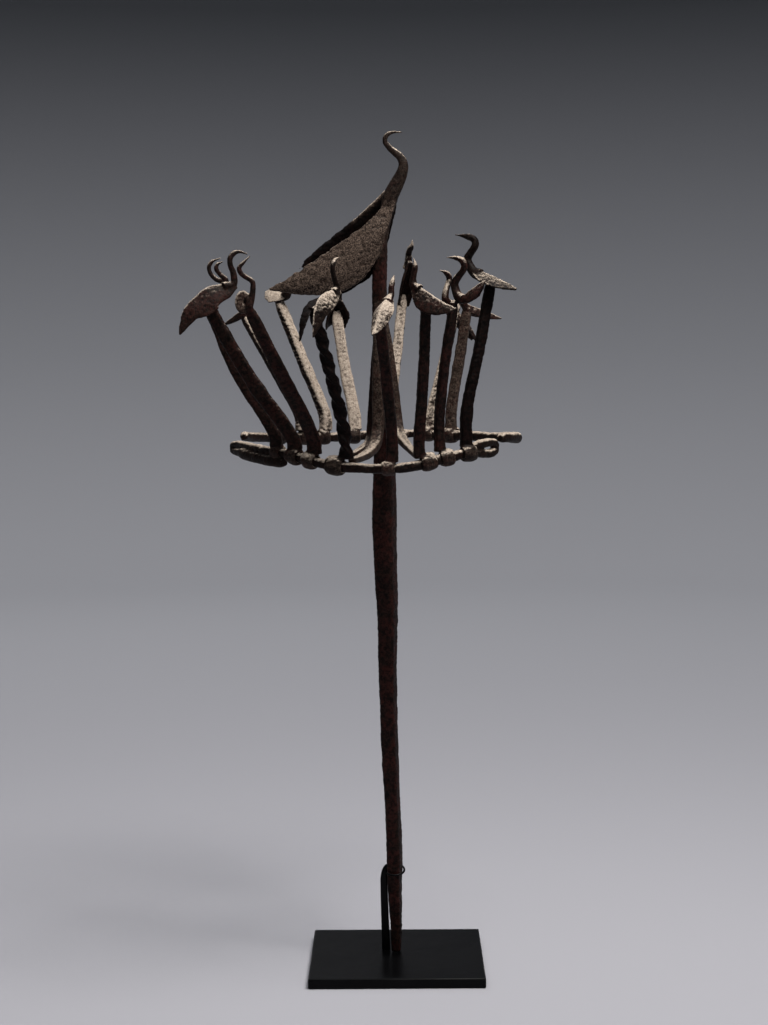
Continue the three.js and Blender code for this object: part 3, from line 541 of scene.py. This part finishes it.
def swept(points, kind, size_at, facing, twist=0):
    """A bar swept along points. size_at gives its width and depth, and facing the way its face looks."""
    sections = []
    steps = steps_of(kind)
    even, directions = course(points, steps)
    for i, direction in enumerate(directions):
        t = i / steps
        across = unit(np.cross(direction, facing))
        out = unit(np.cross(across, direction))
        turn = math.radians(twist * t)
        side = across * math.cos(turn) + out * math.sin(turn)
        up = out * math.cos(turn) - across * math.sin(turn)
        sections.append(placed(even[i, :3], side, up, bar_outline(kind, *size_at(t))))
    return skin(sections)


def on_ring(azimuth, radius, height):
    return RING_CENTRE + along(azimuth) * radius + UP * height


def course_row(name, azimuth):
    """Radius, height and diameter of a ring rod at an azimuth."""
    rows = np.array(COURSES[name], float)
    return [float(np.interp(azimuth, rows[:, 0], rows[:, column])) for column in (1, 2, 3)]


def on_rod(name, azimuth):
    radius, height, _ = course_row(name, azimuth)
    return on_ring(azimuth, radius, height)


def ring_rod(name, seed):
    """A hammered ring rod with blunt ends. The strand that returns at the left is a part of its own."""
    rows = [(*on_ring(azimuth, radius, height), diameter) for azimuth, radius, height, diameter in RODS[name]]
    steps = steps_of("rod")
    even, directions = course(rows, steps)
    sections = []
    for i, direction in enumerate(directions):
        t = i / steps
        out = unit(np.cross(direction, UP))
        up = np.cross(out, direction)
        blunt = min(1.0, 0.55 + 12 * min(t, 1 - t) ** 0.7)
        size = even[i, 3] * blunt * (1 + 0.07 * wobble(8 * t, seed))
        outline = bar_outline("rod", size, size * (1 + 0.08 * wobble(7 * t, seed + 7)))
        sections.append(placed(even[i, :3], out, up, outline))
    if name == "back":
        return [("rod", skin(sections))]
    turn = int(np.argmin(even[:, 0]))
    return [("return", skin(sections[: turn + 1])), ("rod", skin(sections[turn:]))]


def shaft():
    facing = along(-SHAFT_TURN)
    side = along(90 - SHAFT_TURN)
    steps = steps_of("shaft")
    even, _ = course([(x, SHAFT_Y, z, size) for x, z, size in SHAFT], steps)
    sections = []
    for i, row in enumerate(even):
        uneven = 1 + 0.025 * wobble(3 * i / steps, 3)
        outline = bar_outline("shaft", row[3] * uneven, row[3] / uneven)
        sections.append(placed(row[:3], side, facing, outline))
    return skin(sections)


def arm(row):
    """An arm: down beside the shaft, bent outwards above the ring, its end against the rod."""
    start = np.array(row["leaves"], float)
    bend = np.array(row["sweeps"], float)
    azimuth, radius, height = row["ends"]
    tip = on_ring(azimuth, radius, height)
    root = np.array([start[0], SHAFT_Y, start[2] + ARM_ROOT])
    swung = [bend + share * (tip - bend) for share, _ in row["sweep"]]
    for point, (_, drop) in zip(swung, row["sweep"]):
        point[2] = bend[2] + drop
    points = [root, start, start + ARM_MIDDLE * (bend - start), bend, *swung, tip]
    wide, deep = row["size"]
    steps = steps_of("arm")
    even, directions = course([(*point, share) for point, share in zip(points, ARM_SIZES)], steps)
    facing = along(azimuth + 90)
    sections = []
    for i, direction in enumerate(directions):
        across = unit(np.cross(direction, facing))
        out = unit(np.cross(across, direction))
        size = even[i, 3] * (1 + 0.05 * wobble(1.5 * i / steps, azimuth))
        sections.append(placed(even[i, :3], across, out, bar_outline("arm", deep * size, wide * size)))
    return skin(sections)


def body_plate(plate, outward, seed):
    """A thin sheet with ragged edges that bulges outwards and draws in to the bar of the neck."""
    ends = [course([(x, 0, z) for x, z in plate[edge]], PLATE_STEPS)[0] for edge in ("upper", "lower")]
    sections = []
    for i, (top, bottom) in enumerate(zip(*ends)):
        t = i / PLATE_STEPS
        inset = smoothstep(t, 0.72, 1) * (abs(plate["y"] - SHAFT_Y) - 4.5)
        frayed = 0.7 * (1 - smoothstep(t, 0.75, 0.95)) * smoothstep(t, 0, 0.06)
        length = max(np.linalg.norm(bottom - top), TINY)
        ragged = [frayed * wobble(4 * t, seed + k) / length for k in (0, 5)]
        face = []
        for q in np.linspace(ragged[0], 1 + ragged[1], PLATE_STRIPS):
            crown = math.sin(math.pi * np.clip(q, 0, 1))
            swell = plate["bulge"] * crown * math.sin(math.pi * min(1, t * 1.08))
            point = top + q * (bottom - top)
            point[1] = plate["y"] + swell - outward * inset
            face.append(point)
        back = [p - (0, outward * PLATE_SHEET, 0) for p in face]
        sections.append(face + back[::-1])
    return skin(sections)


def plate_rim(plate, seed):
    """The upper edge of a body plate, rolled over into a thick lip."""
    even, _ = course([(x, plate["y"], z) for x, z in plate["upper"]], EDGE_STEPS)

    def size_at(t):
        size = RIM * (1 - 0.3 * smoothstep(t, 0.7, 1)) * (1 + 0.2 * wobble(3 * t, seed))
        return size, size

    return swept(even[RIM_SPAN], "rim", size_at, UP)


def plate_lip(plate):
    """Where the rolled edge of a body plate widens and runs into the neck."""
    even, _ = course([(x, plate["y"] - 1, z) for x, z in plate["upper"]], EDGE_STEPS)

    def size_at(t):
        size = LIP * (0.35 + 0.65 * smoothstep(t, 0, 0.7))
        return size, 0.8 * size

    return swept(even[LIP_SPAN], "lip", size_at, UP)


def large_neck():
    rows = [(x, SHAFT_Y, z, size) for x, z, size in NECK]
    sections = []
    for row, direction in zip(*course(rows, steps_of("large_neck"))):
        up = unit(np.cross(direction, along(0)))
        sections.append(placed(row[:3], up, along(0), bar_outline("large_neck", row[3], row[3] * NECK_FLAT)))
    return skin(sections)


def burr(start, end, thick):
    def size_at(t):
        return thick * (1 - 0.55 * t), thick * 0.8 * (1 - 0.45 * t)

    return swept([start, end], "burr", size_at, UP)


def staff():
    """The staff's closed skins, each with the name of its look."""
    return [
        ("shaft", shaft()),
        ("large_neck", large_neck()),
        ("near_plate", body_plate(NEAR_PLATE, -1, 11)),
        ("far_plate_shaded", body_plate(FAR_PLATE, 1, 23)),
        ("rim", plate_rim(FAR_PLATE, 31)),
        ("lip", plate_lip(FAR_PLATE)),
        *(("rim", burr(*row)) for row in BURRS),
        *((row.get("look", "arm"), arm(row)) for row in ARMS),
    ]


def leaf(t, tail, fullest):
    """How far a wing reaches from the ridge, from the neck at 0 to the tail tip at 1, as a share."""
    opening = math.sin(min(t, fullest) / fullest * math.pi / 2)
    closing = (max(0, t - fullest) / (1 - fullest)) ** 2
    return (0.3 + 0.7 * opening) * (1 + (tail - 1) * closing)


def bird_body(row, ridge, forward, seed):
    """A folded leaf-shaped sheet: the ridge is the fold and the two wings hang from it."""
    left, right, hang = row["wing"]
    tail = row.get("tail", TAIL_SHARE)
    side = np.cross(forward, UP)
    across, down = math.cos(math.radians(hang)), math.sin(math.radians(hang))
    even, directions = course(ridge, BODY_STEPS)
    sections = []
    for i, direction in enumerate(directions):
        t = i / BODY_STEPS
        up = unit(np.cross(direction, side))
        if up[2] < 0 and direction[2] > -0.9:
            up = -up
        sheet = SHEET * (1 - 0.3 * t)
        share = leaf(t, tail, row.get("fullest", WING_FULLEST))
        outer, inner = [], []
        for sign, reach in ((-1, left), (1, right)):
            ragged = 1 + WING_RAGGED * wobble(2 * t, seed + sign)
            u, v = reach * share * across * ragged, -reach * share * down * ragged
            for q in np.linspace(1, 0, WING_STRIPS) if sign < 0 else np.linspace(0, 1, WING_STRIPS)[1:]:
                cup = WING_CUP * reach * share * math.sin(math.pi * q)
                height = FOLD_RISE * (1 - q) ** 2 + q * v + cup * across
                inside = max(FOLD_GAP, q * u + (cup - sheet) * down)
                outer.append([sign * (q * u + cup * down), height])
                inner.append([sign * inside, height - sheet * (across + (1 - q))])
        sections.append(placed(even[i, :3], side, up, outer + inner[::-1]))
    return skin(sections)


def bird_neck(points, forward, girth):
    """The neck thins towards the head, and the beak thins to a point."""

    def size_at(t):
        throat = girth * (1 - 0.32 * smoothstep(t, 0, 0.6)) * (1 + 0.25 * (1 - smoothstep(t, 0, 0.18)))
        size = throat + NECK_FULLNESS + (BEAK_TIP - throat - NECK_FULLNESS) * smoothstep(t, 0.7, 1)
        return size * 0.94, size

    return swept(points, "neck", size_at, np.cross(forward, UP))


def bird_foot(wrap, rod):
    """The bar's end, hammered flat, domed outside, and lapped over itself round the ring rod."""
    azimuth, wide, wall = wrap
    _, _, diameter = course_row(rod, azimuth)
    centre = on_rod(rod, azimuth)
    course_along = unit(on_rod(rod, azimuth + 2) - on_rod(rod, azimuth - 2))
    out = unit(np.cross(course_along, UP))
    up = np.cross(out, course_along)
    thick = max(2.3, 0.85 * wall)
    inner = (diameter + thick) / 2 - 0.1
    outer = max(inner + 0.6, diameter / 2 + FOOT_GAP + wall - 0.35 * thick)
    steps = steps_of("foot")
    sections = []
    for i in range(steps + 1):
        t = i / steps
        a = math.radians(LAP_START + 360 * LAP_TURNS * t)
        normal = math.cos(a) * out + math.sin(a) * up
        spread = wide * (1.02 - 0.4 * smoothstep(t, 0.7, 1)) * (1 + 0.1 * wobble(1.4 * t, azimuth))
        lap = inner + (outer - inner) * smoothstep(t, 0.1, 0.95) + 0.4 * wobble(1.8 * t, azimuth + 3)
        at = centre + normal * lap + course_along * (0.08 * wide * math.sin(2.4 * math.pi * t))
        domed = bar_outline("foot", spread, 2 * thick) - (0, thick / 2)
        sections.append(placed(at, course_along, normal, np.maximum(domed, (-spread, -thick / 2))))
    return skin(sections)


def bird_stem(row, base, perch, top, seed):
    """The stem stands over its ankle, then leans to the perch."""
    bend = base + UP * row["ankle"] + along(row["foot"]) * BEND_OUT
    middle = (bend + perch) / 2 + along(row["foot"]) * BEND_OUT / 2
    wide, deep, turn = row["bar"]

    def size_at(t):
        taper = (1 - STEM_TAPER * t) * (1 - 0.25 * smoothstep(t, 0.93, 1))
        size = taper * (1 + 0.06 * wobble(2.2 * t, seed + 9))
        flare = 1 + 0.06 * (1 - smoothstep(t, 0, 0.1))
        uneven = 0.06 * wobble(1.6 * t, seed)
        return wide * size * flare * (1 + uneven), deep * size * (1 - uneven)

    stations = zip((base, bend, middle, top), row.get("aside", [0] * 4))
    shifted = [point + (shift, 0, 0) for point, shift in stations]
    kind = "twisted" if "twist" in row else "stem"
    return swept(shifted, kind, size_at, along(turn), row.get("twist", 0))


def seat_depth(row, t):
    """How far below the fold a stem ends, so that the folded wings hide its end."""
    left, right, hang = row["wing"]
    slope = math.radians(hang)
    wing_depth = min(left, right) * leaf(t, TAIL_SHARE, WING_FULLEST) * math.sin(slope)
    return min(0.7 * wing_depth, 0.5 * row["bar"][0] * math.tan(slope))


def bird_disc(disc, perch, forward):
    """A flat oval body that stands upright along the way the bird faces, with a hole in it."""
    side = np.cross(forward, UP)
    sections = []
    for a in np.linspace(0, 2 * math.pi, steps_of("disc"), endpoint=False):
        ray = np.array([math.cos(a), math.sin(a)])
        rim = disc["centre"] + np.array(disc["size"]) / 2 * ray
        bore = disc["hole"] + np.array(disc["bore"]) / 2 * ray
        width = np.linalg.norm(rim - bore)
        spoke = (rim - bore) / width
        out = forward * spoke[0] + UP * spoke[1]
        middle = (bore + rim) / 2
        at = perch + forward * middle[0] + UP * middle[1]
        sections.append(placed(at, out, side, bar_outline("disc", width, DISC_THICK)))
    return skin(sections, closed=True)


def hole_shade_backing(perch, forward):
    """A dark piece behind the hole of a disc, painted shade that makes the hole look dark."""
    foot = perch - np.cross(forward, UP) * BACKING_BEHIND
    return swept([foot, foot + UP * BACKING_TALL], "backing", lambda t: BACKING, forward)


def bird_plume(points, forward):
    """A ragged strip that hangs free beside the body."""
    left = np.cross(UP, forward)
    route = [p + left * PLUME_ASIDE * min(1, i / 2) for i, p in enumerate(points)]

    def size_at(t):
        width = PLUME_WIDE * max(0.15, math.sin(math.pi * (0.15 + 0.82 * t))) * (1 + 0.22 * wobble(3 * t, 5))
        return width, PLUME_THICK

    return swept(route, "plume", size_at, forward)


def bird(row, seed):
    """The closed skins of one small bird, each with the name of its part."""
    rod = "front" if abs(row["foot"]) < 90 else "back"
    _, _, diameter = course_row(rod, row["foot"])
    centre = on_rod(rod, row["foot"])
    base = centre + UP * (diameter / 2 + FOOT_GAP + row["wrap"][2] / 2)
    lean, toward, rise = row["perch"]
    perch = centre + along(toward) * lean + UP * rise
    forward = along(row["face"])

    def in_plane(points):
        return [perch + forward * f + UP * h for f, h in points]

    neck = in_plane(row["neck"])
    extras = []
    if "disc" in row:
        body = ("disc", bird_disc(row["disc"], perch, forward))
        top = perch + UP * DISC_SEAT
        # Painted shade: a dark piece behind the disc's hole.
        extras.append(("hole_painted_shade", hole_shade_backing(perch, forward)))
    else:
        ridge = in_plane(row["ridge"])
        fold, _ = course(ridge, FOLD_STEPS)
        seat = int(np.argmin(np.abs((fold - perch) @ forward)))
        top = fold[seat] - UP * seat_depth(row, seat / FOLD_STEPS)
        neck = [fold[3] - UP * row["girth"] / 3, *neck]
        body = ("body", bird_body(row, ridge, forward, seed))
    if "plume" in row:
        extras.append(("plume", bird_plume(in_plane(row["plume"]), forward)))
    return [
        ("foot", bird_foot(row["wrap"], rod)),
        ("stem", bird_stem(row, base, perch, top, seed)),
        body,
        ("neck", bird_neck(neck, forward, row["girth"])),
        *extras,
    ]


def upright():
    """The flat bar of the stand, curled over at its top, and the wire that runs on round the shaft."""
    rows = [(x, UPRIGHT_Y, z, wide) for x, z, wide in UPRIGHT]
    bar = []
    for row, direction in zip(*course(rows, steps_of("upright"))):
        across = unit(np.cross(along(0), direction))
        outline = bar_outline("upright", row[3], min(row[3], UPRIGHT_DEEP))
        bar.append(placed(row[:3], across, along(0), outline))
    turns = []
    for a in np.linspace(LOOP_START, LOOP_START - LOOP_SWEEP, LOOP_POINTS):
        spoke = along(a) * LOOP_RADIUS
        turns.append(np.array(LOOP_CENTRE) + spoke + UP * (LOOP_DIP * spoke[1] / LOOP_RADIUS))
    return [("bar", skin(bar)), ("wire", swept(turns, "wire", lambda t: (WIRE, WIRE), UP))]


def fused(name, shells, voxel):
    """One mesh object in metres from closed skins in millimetres, with their joins smoothed."""
    vertices, faces, start = [], [], 0
    for _, (points, quads) in shells:
        vertices.append(points * MM)
        faces += [tuple(start + i for i in quad) for quad in quads]
        start += len(points)
    mesh = bpy.data.meshes.new(name)
    mesh.from_pydata(np.vstack(vertices).tolist(), [], faces)
    piece = bpy.data.objects.new(name, mesh)
    bpy.context.scene.collection.objects.link(piece)
    fuse = piece.modifiers.new("Fuse", "REMESH")
    fuse.mode = "VOXEL"
    fuse.voxel_size = voxel * MM
    soften = piece.modifiers.new("Soften", "SMOOTH")
    soften.iterations = SOFTENING
    graph = bpy.context.evaluated_depsgraph_get()
    piece.data = bpy.data.meshes.new_from_object(piece.evaluated_get(graph))
    piece.data.name = name
    piece.modifiers.clear()
    bpy.data.meshes.remove(mesh)
    piece.data.shade_smooth()
    return piece


def read(collection, attribute, width=3):
    values = np.zeros(len(collection) * width)
    collection.foreach_get(attribute, values)
    return values.reshape(-1, width)


def paint(mesh, name, values):
    layer = mesh.attributes.new(name, "FLOAT", "POINT")
    layer.data.foreach_set("value", np.asarray(values, np.float32))


def softened(values, edges, rounds):
    """Values at vertices, averaged with their neighbours a number of times."""
    near, far = edges.T
    count = len(values)
    shares = np.maximum(np.bincount(near, minlength=count) + np.bincount(far, minlength=count), 1)
    for _ in range(rounds):
        around = []
        for column in values.T:
            around.append(np.bincount(near, column[far], count) + np.bincount(far, column[near], count))
        values = 0.5 * (values + np.stack(around, axis=1) / shares[:, None])
    return values


def looks_at(points, shells, looks):
    """For each point, the look of the part whose skin is nearest."""
    corners = np.vstack([skinned[0] for _, skinned in shells])
    parts = np.concatenate([np.full(len(skinned[0]), i) for i, (_, skinned) in enumerate(shells)])
    tree = KDTree(len(corners))
    for i, corner in enumerate(corners):
        tree.insert(corner, i)
    tree.balance()
    rows = np.array([looks[part] for part, _ in shells], float)
    return rows[[parts[tree.find(point)[1]] for point in points]]


def hammered(piece, seed, shells, looks):
    """Moves the surface by hammer marks and corrosion.

    It notes how raised the grain and how sharp the edge is, and how pale, grey and red the iron is, its
    paleness partly painted light.
    """
    mesh = piece.data
    points = read(mesh.vertices, "co") / MM
    normals = read(mesh.vertex_normals, "vector")
    edges = read(mesh.edges, "vertices", 2).astype(int)
    crust_and_light, grey, rust, dents, pits = softened(looks_at(points, shells, looks), edges, LOOK_SPREAD).T
    broad = grain(points, DENT_SIZE, seed)
    warped = points * GRAIN_STRETCH + GRAIN_WARP * grain(points, WARP_SIZE, seed + 3)[:, None]
    scale = grain(warped, GRAIN_SIZE, seed + 1)
    pitted = grain(points, PIT_SIZE, seed + 2)
    relief = dents * broad + pits * (scale + 0.6 * pitted) - 1.1 * pits * np.maximum(0, scale - 0.3)
    moved = points + normals * relief[:, None]
    mesh.vertices.foreach_set("co", (moved * MM).ravel())
    mesh.update()
    sharp = np.sum((points - softened(points, edges, EDGE_SPREAD)) * normals, axis=1)
    paint(mesh, "relief", 0.5 + 0.5 * (0.5 * scale + 0.5 * pitted))
    paint(mesh, "edge", np.clip(sharp / SHARP_EDGE, 0, 1))
    paint(mesh, "crust_and_light", crust_and_light)
    paint(mesh, "grey", grey)
    paint(mesh, "rust", rust)


def add(tree, kind, inputs=None, **settings):
    """A new node with its settings, and its inputs either linked or set."""
    node = tree.nodes.new(kind)
    for name, value in settings.items():
        setattr(node, name, value)
    for key, value in (inputs or {}).items():
        if isinstance(value, bpy.types.NodeSocket):
            tree.links.new(value, node.inputs[key])
        else:
            node.inputs[key].default_value = value
    return node


def noise_of(tree, place, scale, detail, roughness=0.6):
    settings = {"Vector": place, "Scale": scale, "Detail": detail, "Roughness": roughness}
    return add(tree, "ShaderNodeTexNoise", settings).outputs["Fac"]


def attribute_of(tree, name):
    return add(tree, "ShaderNodeAttribute", attribute_name=name).outputs["Fac"]


def ramp(tree, value, low, high, start=0.0, end=1.0, shape="SMOOTHSTEP"):
    node = add(
        tree,
        "ShaderNodeMapRange",
        {"Value": value, "From Min": low, "From Max": high, "To Min": start, "To Max": end},
        interpolation_type=shape,
    )
    return node.outputs["Result"]


def maths(tree, operation, a, b):
    return add(tree, "ShaderNodeMath", {0: a, 1: b}, operation=operation).outputs[0]


def mixed(tree, share, a, b):
    node = add(tree, "ShaderNodeMix", {"Factor": share}, data_type="RGBA")
    for socket, value in ((node.inputs[6], a), (node.inputs[7], b)):
        if isinstance(value, bpy.types.NodeSocket):
            tree.links.new(value, socket)
        else:
            socket.default_value = (*value, 1)
    return node.outputs[2]


def new_material(name):
    """A material's tree, its shader and its object coordinates."""
    material = bpy.data.materials.new(name)
    material.use_nodes = True
    tree = material.node_tree
    shader = tree.nodes["Principled BSDF"]
    place = add(tree, "ShaderNodeTexCoord").outputs["Object"]
    return material, tree, shader, place


def forged_iron():
    """Near-black forged iron with rust-red patches, grey scale, and a pale crust on its upper faces and edges
    that is partly painted top light and painted edge highlights.
    """
    material, tree, shader, place = new_material("forged_iron")
    patches = noise_of(tree, place, 60, 3)
    scale = noise_of(tree, place, 360, 5, 0.7)
    speck = noise_of(tree, place, 950, 4, 0.75)
    crust_and_light = attribute_of(tree, "crust_and_light")
    rust = attribute_of(tree, "rust")
    browned = maths(tree, "MULTIPLY", ramp(tree, scale, 0.45, 0.58), ramp(tree, rust, 0, 0.3, 0.3, 1.1))
    base = mixed(tree, browned, IRON_BLACK, IRON_BROWN)
    red = maths(tree, "MULTIPLY", ramp(tree, patches, 0.4, 0.6), rust)
    base = mixed(tree, maths(tree, "MULTIPLY", red, ramp(tree, scale, 0.35, 0.6)), base, RUST_RED)
    scaly = mixed(tree, ramp(tree, speck, 0.38, 0.64), GREY_DARK, GREY_PALE)
    raised = ramp(tree, attribute_of(tree, "relief"), 0.2, 0.7, 0.25, 1.0)
    base = mixed(tree, maths(tree, "MULTIPLY", raised, attribute_of(tree, "grey")), base, scaly)
    # Painted light: the pale crust gathers on upward faces, so the tops that the lamps light are painted
    # paler; part of it is real crust and dust.
    normal = add(tree, "ShaderNodeNewGeometry").outputs["Normal"]
    upward = add(tree, "ShaderNodeSeparateXYZ", {"Vector": normal}).outputs["Z"]
    uneven = maths(tree, "ADD", maths(tree, "MULTIPLY", scale, 0.6), maths(tree, "MULTIPLY", speck, 0.9))
    # Painted highlight: sharp edges take more of the pale crust, partly real wear and partly painted glints
    # along them.
    edge_wear_and_highlight = maths(tree, "MULTIPLY", attribute_of(tree, "edge"), 0.45)
    reach = maths(tree, "ADD", maths(tree, "ADD", uneven, edge_wear_and_highlight), maths(tree, "ADD", upward, crust_and_light))
    crust_and_top_light = ramp(tree, reach, 1.6, 2.05)
    crust_and_light_tone = mixed(tree, ramp(tree, uneven, 0.5, 1.05), CRUST_AND_LIGHT_DEEP, CRUST_AND_LIGHT_PALE)
    colour = mixed(tree, crust_and_top_light, base, crust_and_light_tone)
    tree.links.new(colour, shader.inputs["Base Color"])
    tree.links.new(ramp(tree, speck, 0.35, 0.65, 0.4, 0.68), shader.inputs["Roughness"])
    shader.inputs["Specular IOR Level"].default_value = 0.07
    height = maths(tree, "ADD", maths(tree, "MULTIPLY", scale, 0.6), maths(tree, "MULTIPLY", speck, 0.4))
    bump = add(tree, "ShaderNodeBump", {"Strength": 0.55, "Distance": 0.001, "Height": height})
    tree.links.new(bump.outputs["Normal"], shader.inputs["Normal"])
    return material


def black_paint():
    """Satin black paint on the stand, faintly uneven and rubbed."""
    material, tree, shader, place = new_material("black_paint")
    cloud = noise_of(tree, place, 22, 4)
    fine = noise_of(tree, place, 1500, 3)
    colour = mixed(tree, ramp(tree, cloud, 0.4, 0.7), PAINT_DEEP, PAINT_PALE)
    tree.links.new(colour, shader.inputs["Base Color"])
    tree.links.new(ramp(tree, cloud, 0.35, 0.65, 0.28, 0.38), shader.inputs["Roughness"])
    shader.inputs["Specular IOR Level"].default_value = 0.09
    bump = add(tree, "ShaderNodeBump", {"Strength": 0.12, "Distance": 0.0002, "Height": fine})
    tree.links.new(bump.outputs["Normal"], shader.inputs["Normal"])
    return material


def backdrop():
    """A pale studio floor, darkened near the staff by painted shade, that curves up all the way round into a
    wall that deepens with its height by painted shade.
    """
    material, tree, shader, place = new_material("studio_floor")
    height = add(tree, "ShaderNodeSeparateXYZ", {"Vector": place}).outputs["Z"]
    across = add(tree, "ShaderNodeVectorMath", {0: place, 1: (1, 1, 0)}, operation="MULTIPLY").outputs[0]
    reach = add(tree, "ShaderNodeVectorMath", {0: across}, operation="LENGTH").outputs["Value"]
    # Painted shade: the floor darkens towards the staff and the wall darkens towards its top.
    floor_tone = mixed(tree, ramp(tree, reach, 0.4, 3.2), FLOOR_NEAR_SHADED, FLOOR_FAR)
    wall_tone = mixed(tree, ramp(tree, height, 0.55, 1.6, shape="LINEAR"), WALL_PALE, WALL_TOP_SHADED)
    colour = mixed(tree, ramp(tree, height, -0.02, 0.55, shape="LINEAR"), floor_tone, wall_tone)
    tree.links.new(colour, shader.inputs["Base Color"])
    shader.inputs["Roughness"].default_value = 0.8
    shader.inputs["Specular IOR Level"].default_value = 0.2
    profile = [(0.001, 0), (FLOOR_RADIUS, 0)]
    for a in np.linspace(0, math.pi / 2, 24)[1:]:
        profile.append((FLOOR_RADIUS + FLOOR_BEND * math.sin(a), FLOOR_BEND * (1 - math.cos(a))))
    profile.append((FLOOR_RADIUS + FLOOR_BEND, WALL_TOP))
    vertices, faces = [], []
    for radius, z in profile:
        for a in np.linspace(0, 2 * math.pi, FLOOR_SIDES, endpoint=False):
            vertices.append((radius * math.cos(a), radius * math.sin(a), z))
    for i in range(len(profile) - 1):
        near, far = i * FLOOR_SIDES, (i + 1) * FLOOR_SIDES
        for k in range(FLOOR_SIDES):
            j = (k + 1) % FLOOR_SIDES
            faces.append((near + k, near + j, far + j, far + k))
    mesh = bpy.data.meshes.new("studio_floor")
    mesh.from_pydata(vertices, [], faces)
    mesh.shade_smooth()
    floor = bpy.data.objects.new("studio_floor", mesh)
    floor.data.materials.append(material)
    bpy.context.scene.collection.objects.link(floor)


def softbox(name, place, target, size, power, colour, spread):
    light = bpy.data.lights.new(name, "AREA")
    light.shape = "RECTANGLE"
    light.size, light.size_y = size
    light.energy = power
    light.color = colour
    light.spread = math.radians(spread)
    lamp = bpy.data.objects.new(name, light)
    lamp.location = place
    lamp.rotation_euler = (Vector(target) - Vector(place)).to_track_quat("-Z", "Y").to_euler()
    bpy.context.scene.collection.objects.link(lamp)


def studio():
    scene = bpy.context.scene
    world = bpy.data.worlds.new("studio")
    world.use_nodes = True
    sky = world.node_tree.nodes["Background"]
    sky.inputs["Color"].default_value = (*SKY, 1)
    sky.inputs["Strength"].default_value = SKY_STRENGTH
    scene.world = world
    scene.view_settings.view_transform = "Standard"
    for name, row in LIGHTS.items():
        softbox(name, *row)


def camera():
    """The camera at the photograph's place and angle."""
    heading, tilt, roll = (math.radians(a) for a in (CAMERA_HEADING, CAMERA_TILT, CAMERA_ROLL))
    ahead = Vector((-math.sin(heading), math.cos(heading), 0))
    level = Vector((math.cos(heading), math.sin(heading), 0))
    forward = ahead * math.cos(tilt) - Vector(UP) * math.sin(tilt)
    above = ahead * math.sin(tilt) + Vector(UP) * math.cos(tilt)
    right = level * math.cos(roll) + above * math.sin(roll)
    up = above * math.cos(roll) - level * math.sin(roll)
    data = bpy.data.cameras.new("camera")
    data.sensor_width = SENSOR
    data.lens = LENS
    eye = bpy.data.objects.new("camera", data)
    turned = Matrix((right, up, -forward)).transposed().to_4x4()
    eye.matrix_world = Matrix.Translation(Vector(CAMERA_AT) * MM) @ turned
    bpy.context.scene.collection.objects.link(eye)
    bpy.context.scene.camera = eye


def stand_plate(frame, paint_black):
    """The base plate keeps its solid, with its edges slightly chamfered."""
    plate = frame["nodes"]["stand_plate"]
    plate.data.materials.clear()
    plate.data.materials.append(paint_black)
    corners = plate.modifiers.new("Joined corners", "WELD")
    corners.merge_threshold = CORNER_GAP * MM
    edges = plate.modifiers.new("Chamfered edges", "BEVEL")
    edges.width = PLATE_CHAMFER * MM
    edges.segments = 1


def bird_looks(row):
    looks = dict(PAINTED_SHADE_PARTS)
    parts = ("stem", "disc" if "disc" in row else "body", "neck", "foot")
    *crusts_and_light, rust = row["iron"]
    for part, crust_and_light in zip(parts, crusts_and_light):
        grey, dents, pits = PART_LOOKS[part]
        if part == "stem":
            grey = row.get("grey", grey)
        looks[part] = (crust_and_light, grey, rust, dents, pits)
    return looks


def finish_piece(piece, node, material):
    """The piece takes its material, rides on the staff's one body and stands for its node."""
    piece.data.materials.clear()
    piece.data.materials.append(material)
    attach(piece, "root")
    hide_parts(node)


def iron_piece(node, shells, voxel, seed, looks, iron):
    piece = fused(f"{node}_forged", shells, voxel)
    hammered(piece, seed, shells, looks)
    finish_piece(piece, node, iron)


def dress(frame):
    iron = forged_iron()
    paint_black = black_paint()
    stand_plate(frame, paint_black)
    post = fused("stand_upright_painted", upright(), UPRIGHT_VOXEL)
    finish_piece(post, "stand_upright", paint_black)
    iron_piece("staff", staff(), STAFF_VOXEL, STAFF_SEED, STAFF_LOOKS, iron)
    for name, seed in ROD_SEEDS.items():
        iron_piece(f"ring_{name}_rod", ring_rod(name, seed), ROD_VOXEL, seed, ROD_LOOKS, iron)
    for i, row in enumerate(BIRDS, start=1):
        iron_piece(f"bird_{i:02d}", bird(row, i), BIRD_VOXEL, i, bird_looks(row), iron)


def main():
    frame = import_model()
    dress(frame)
    backdrop()
    studio()
    camera()


main()
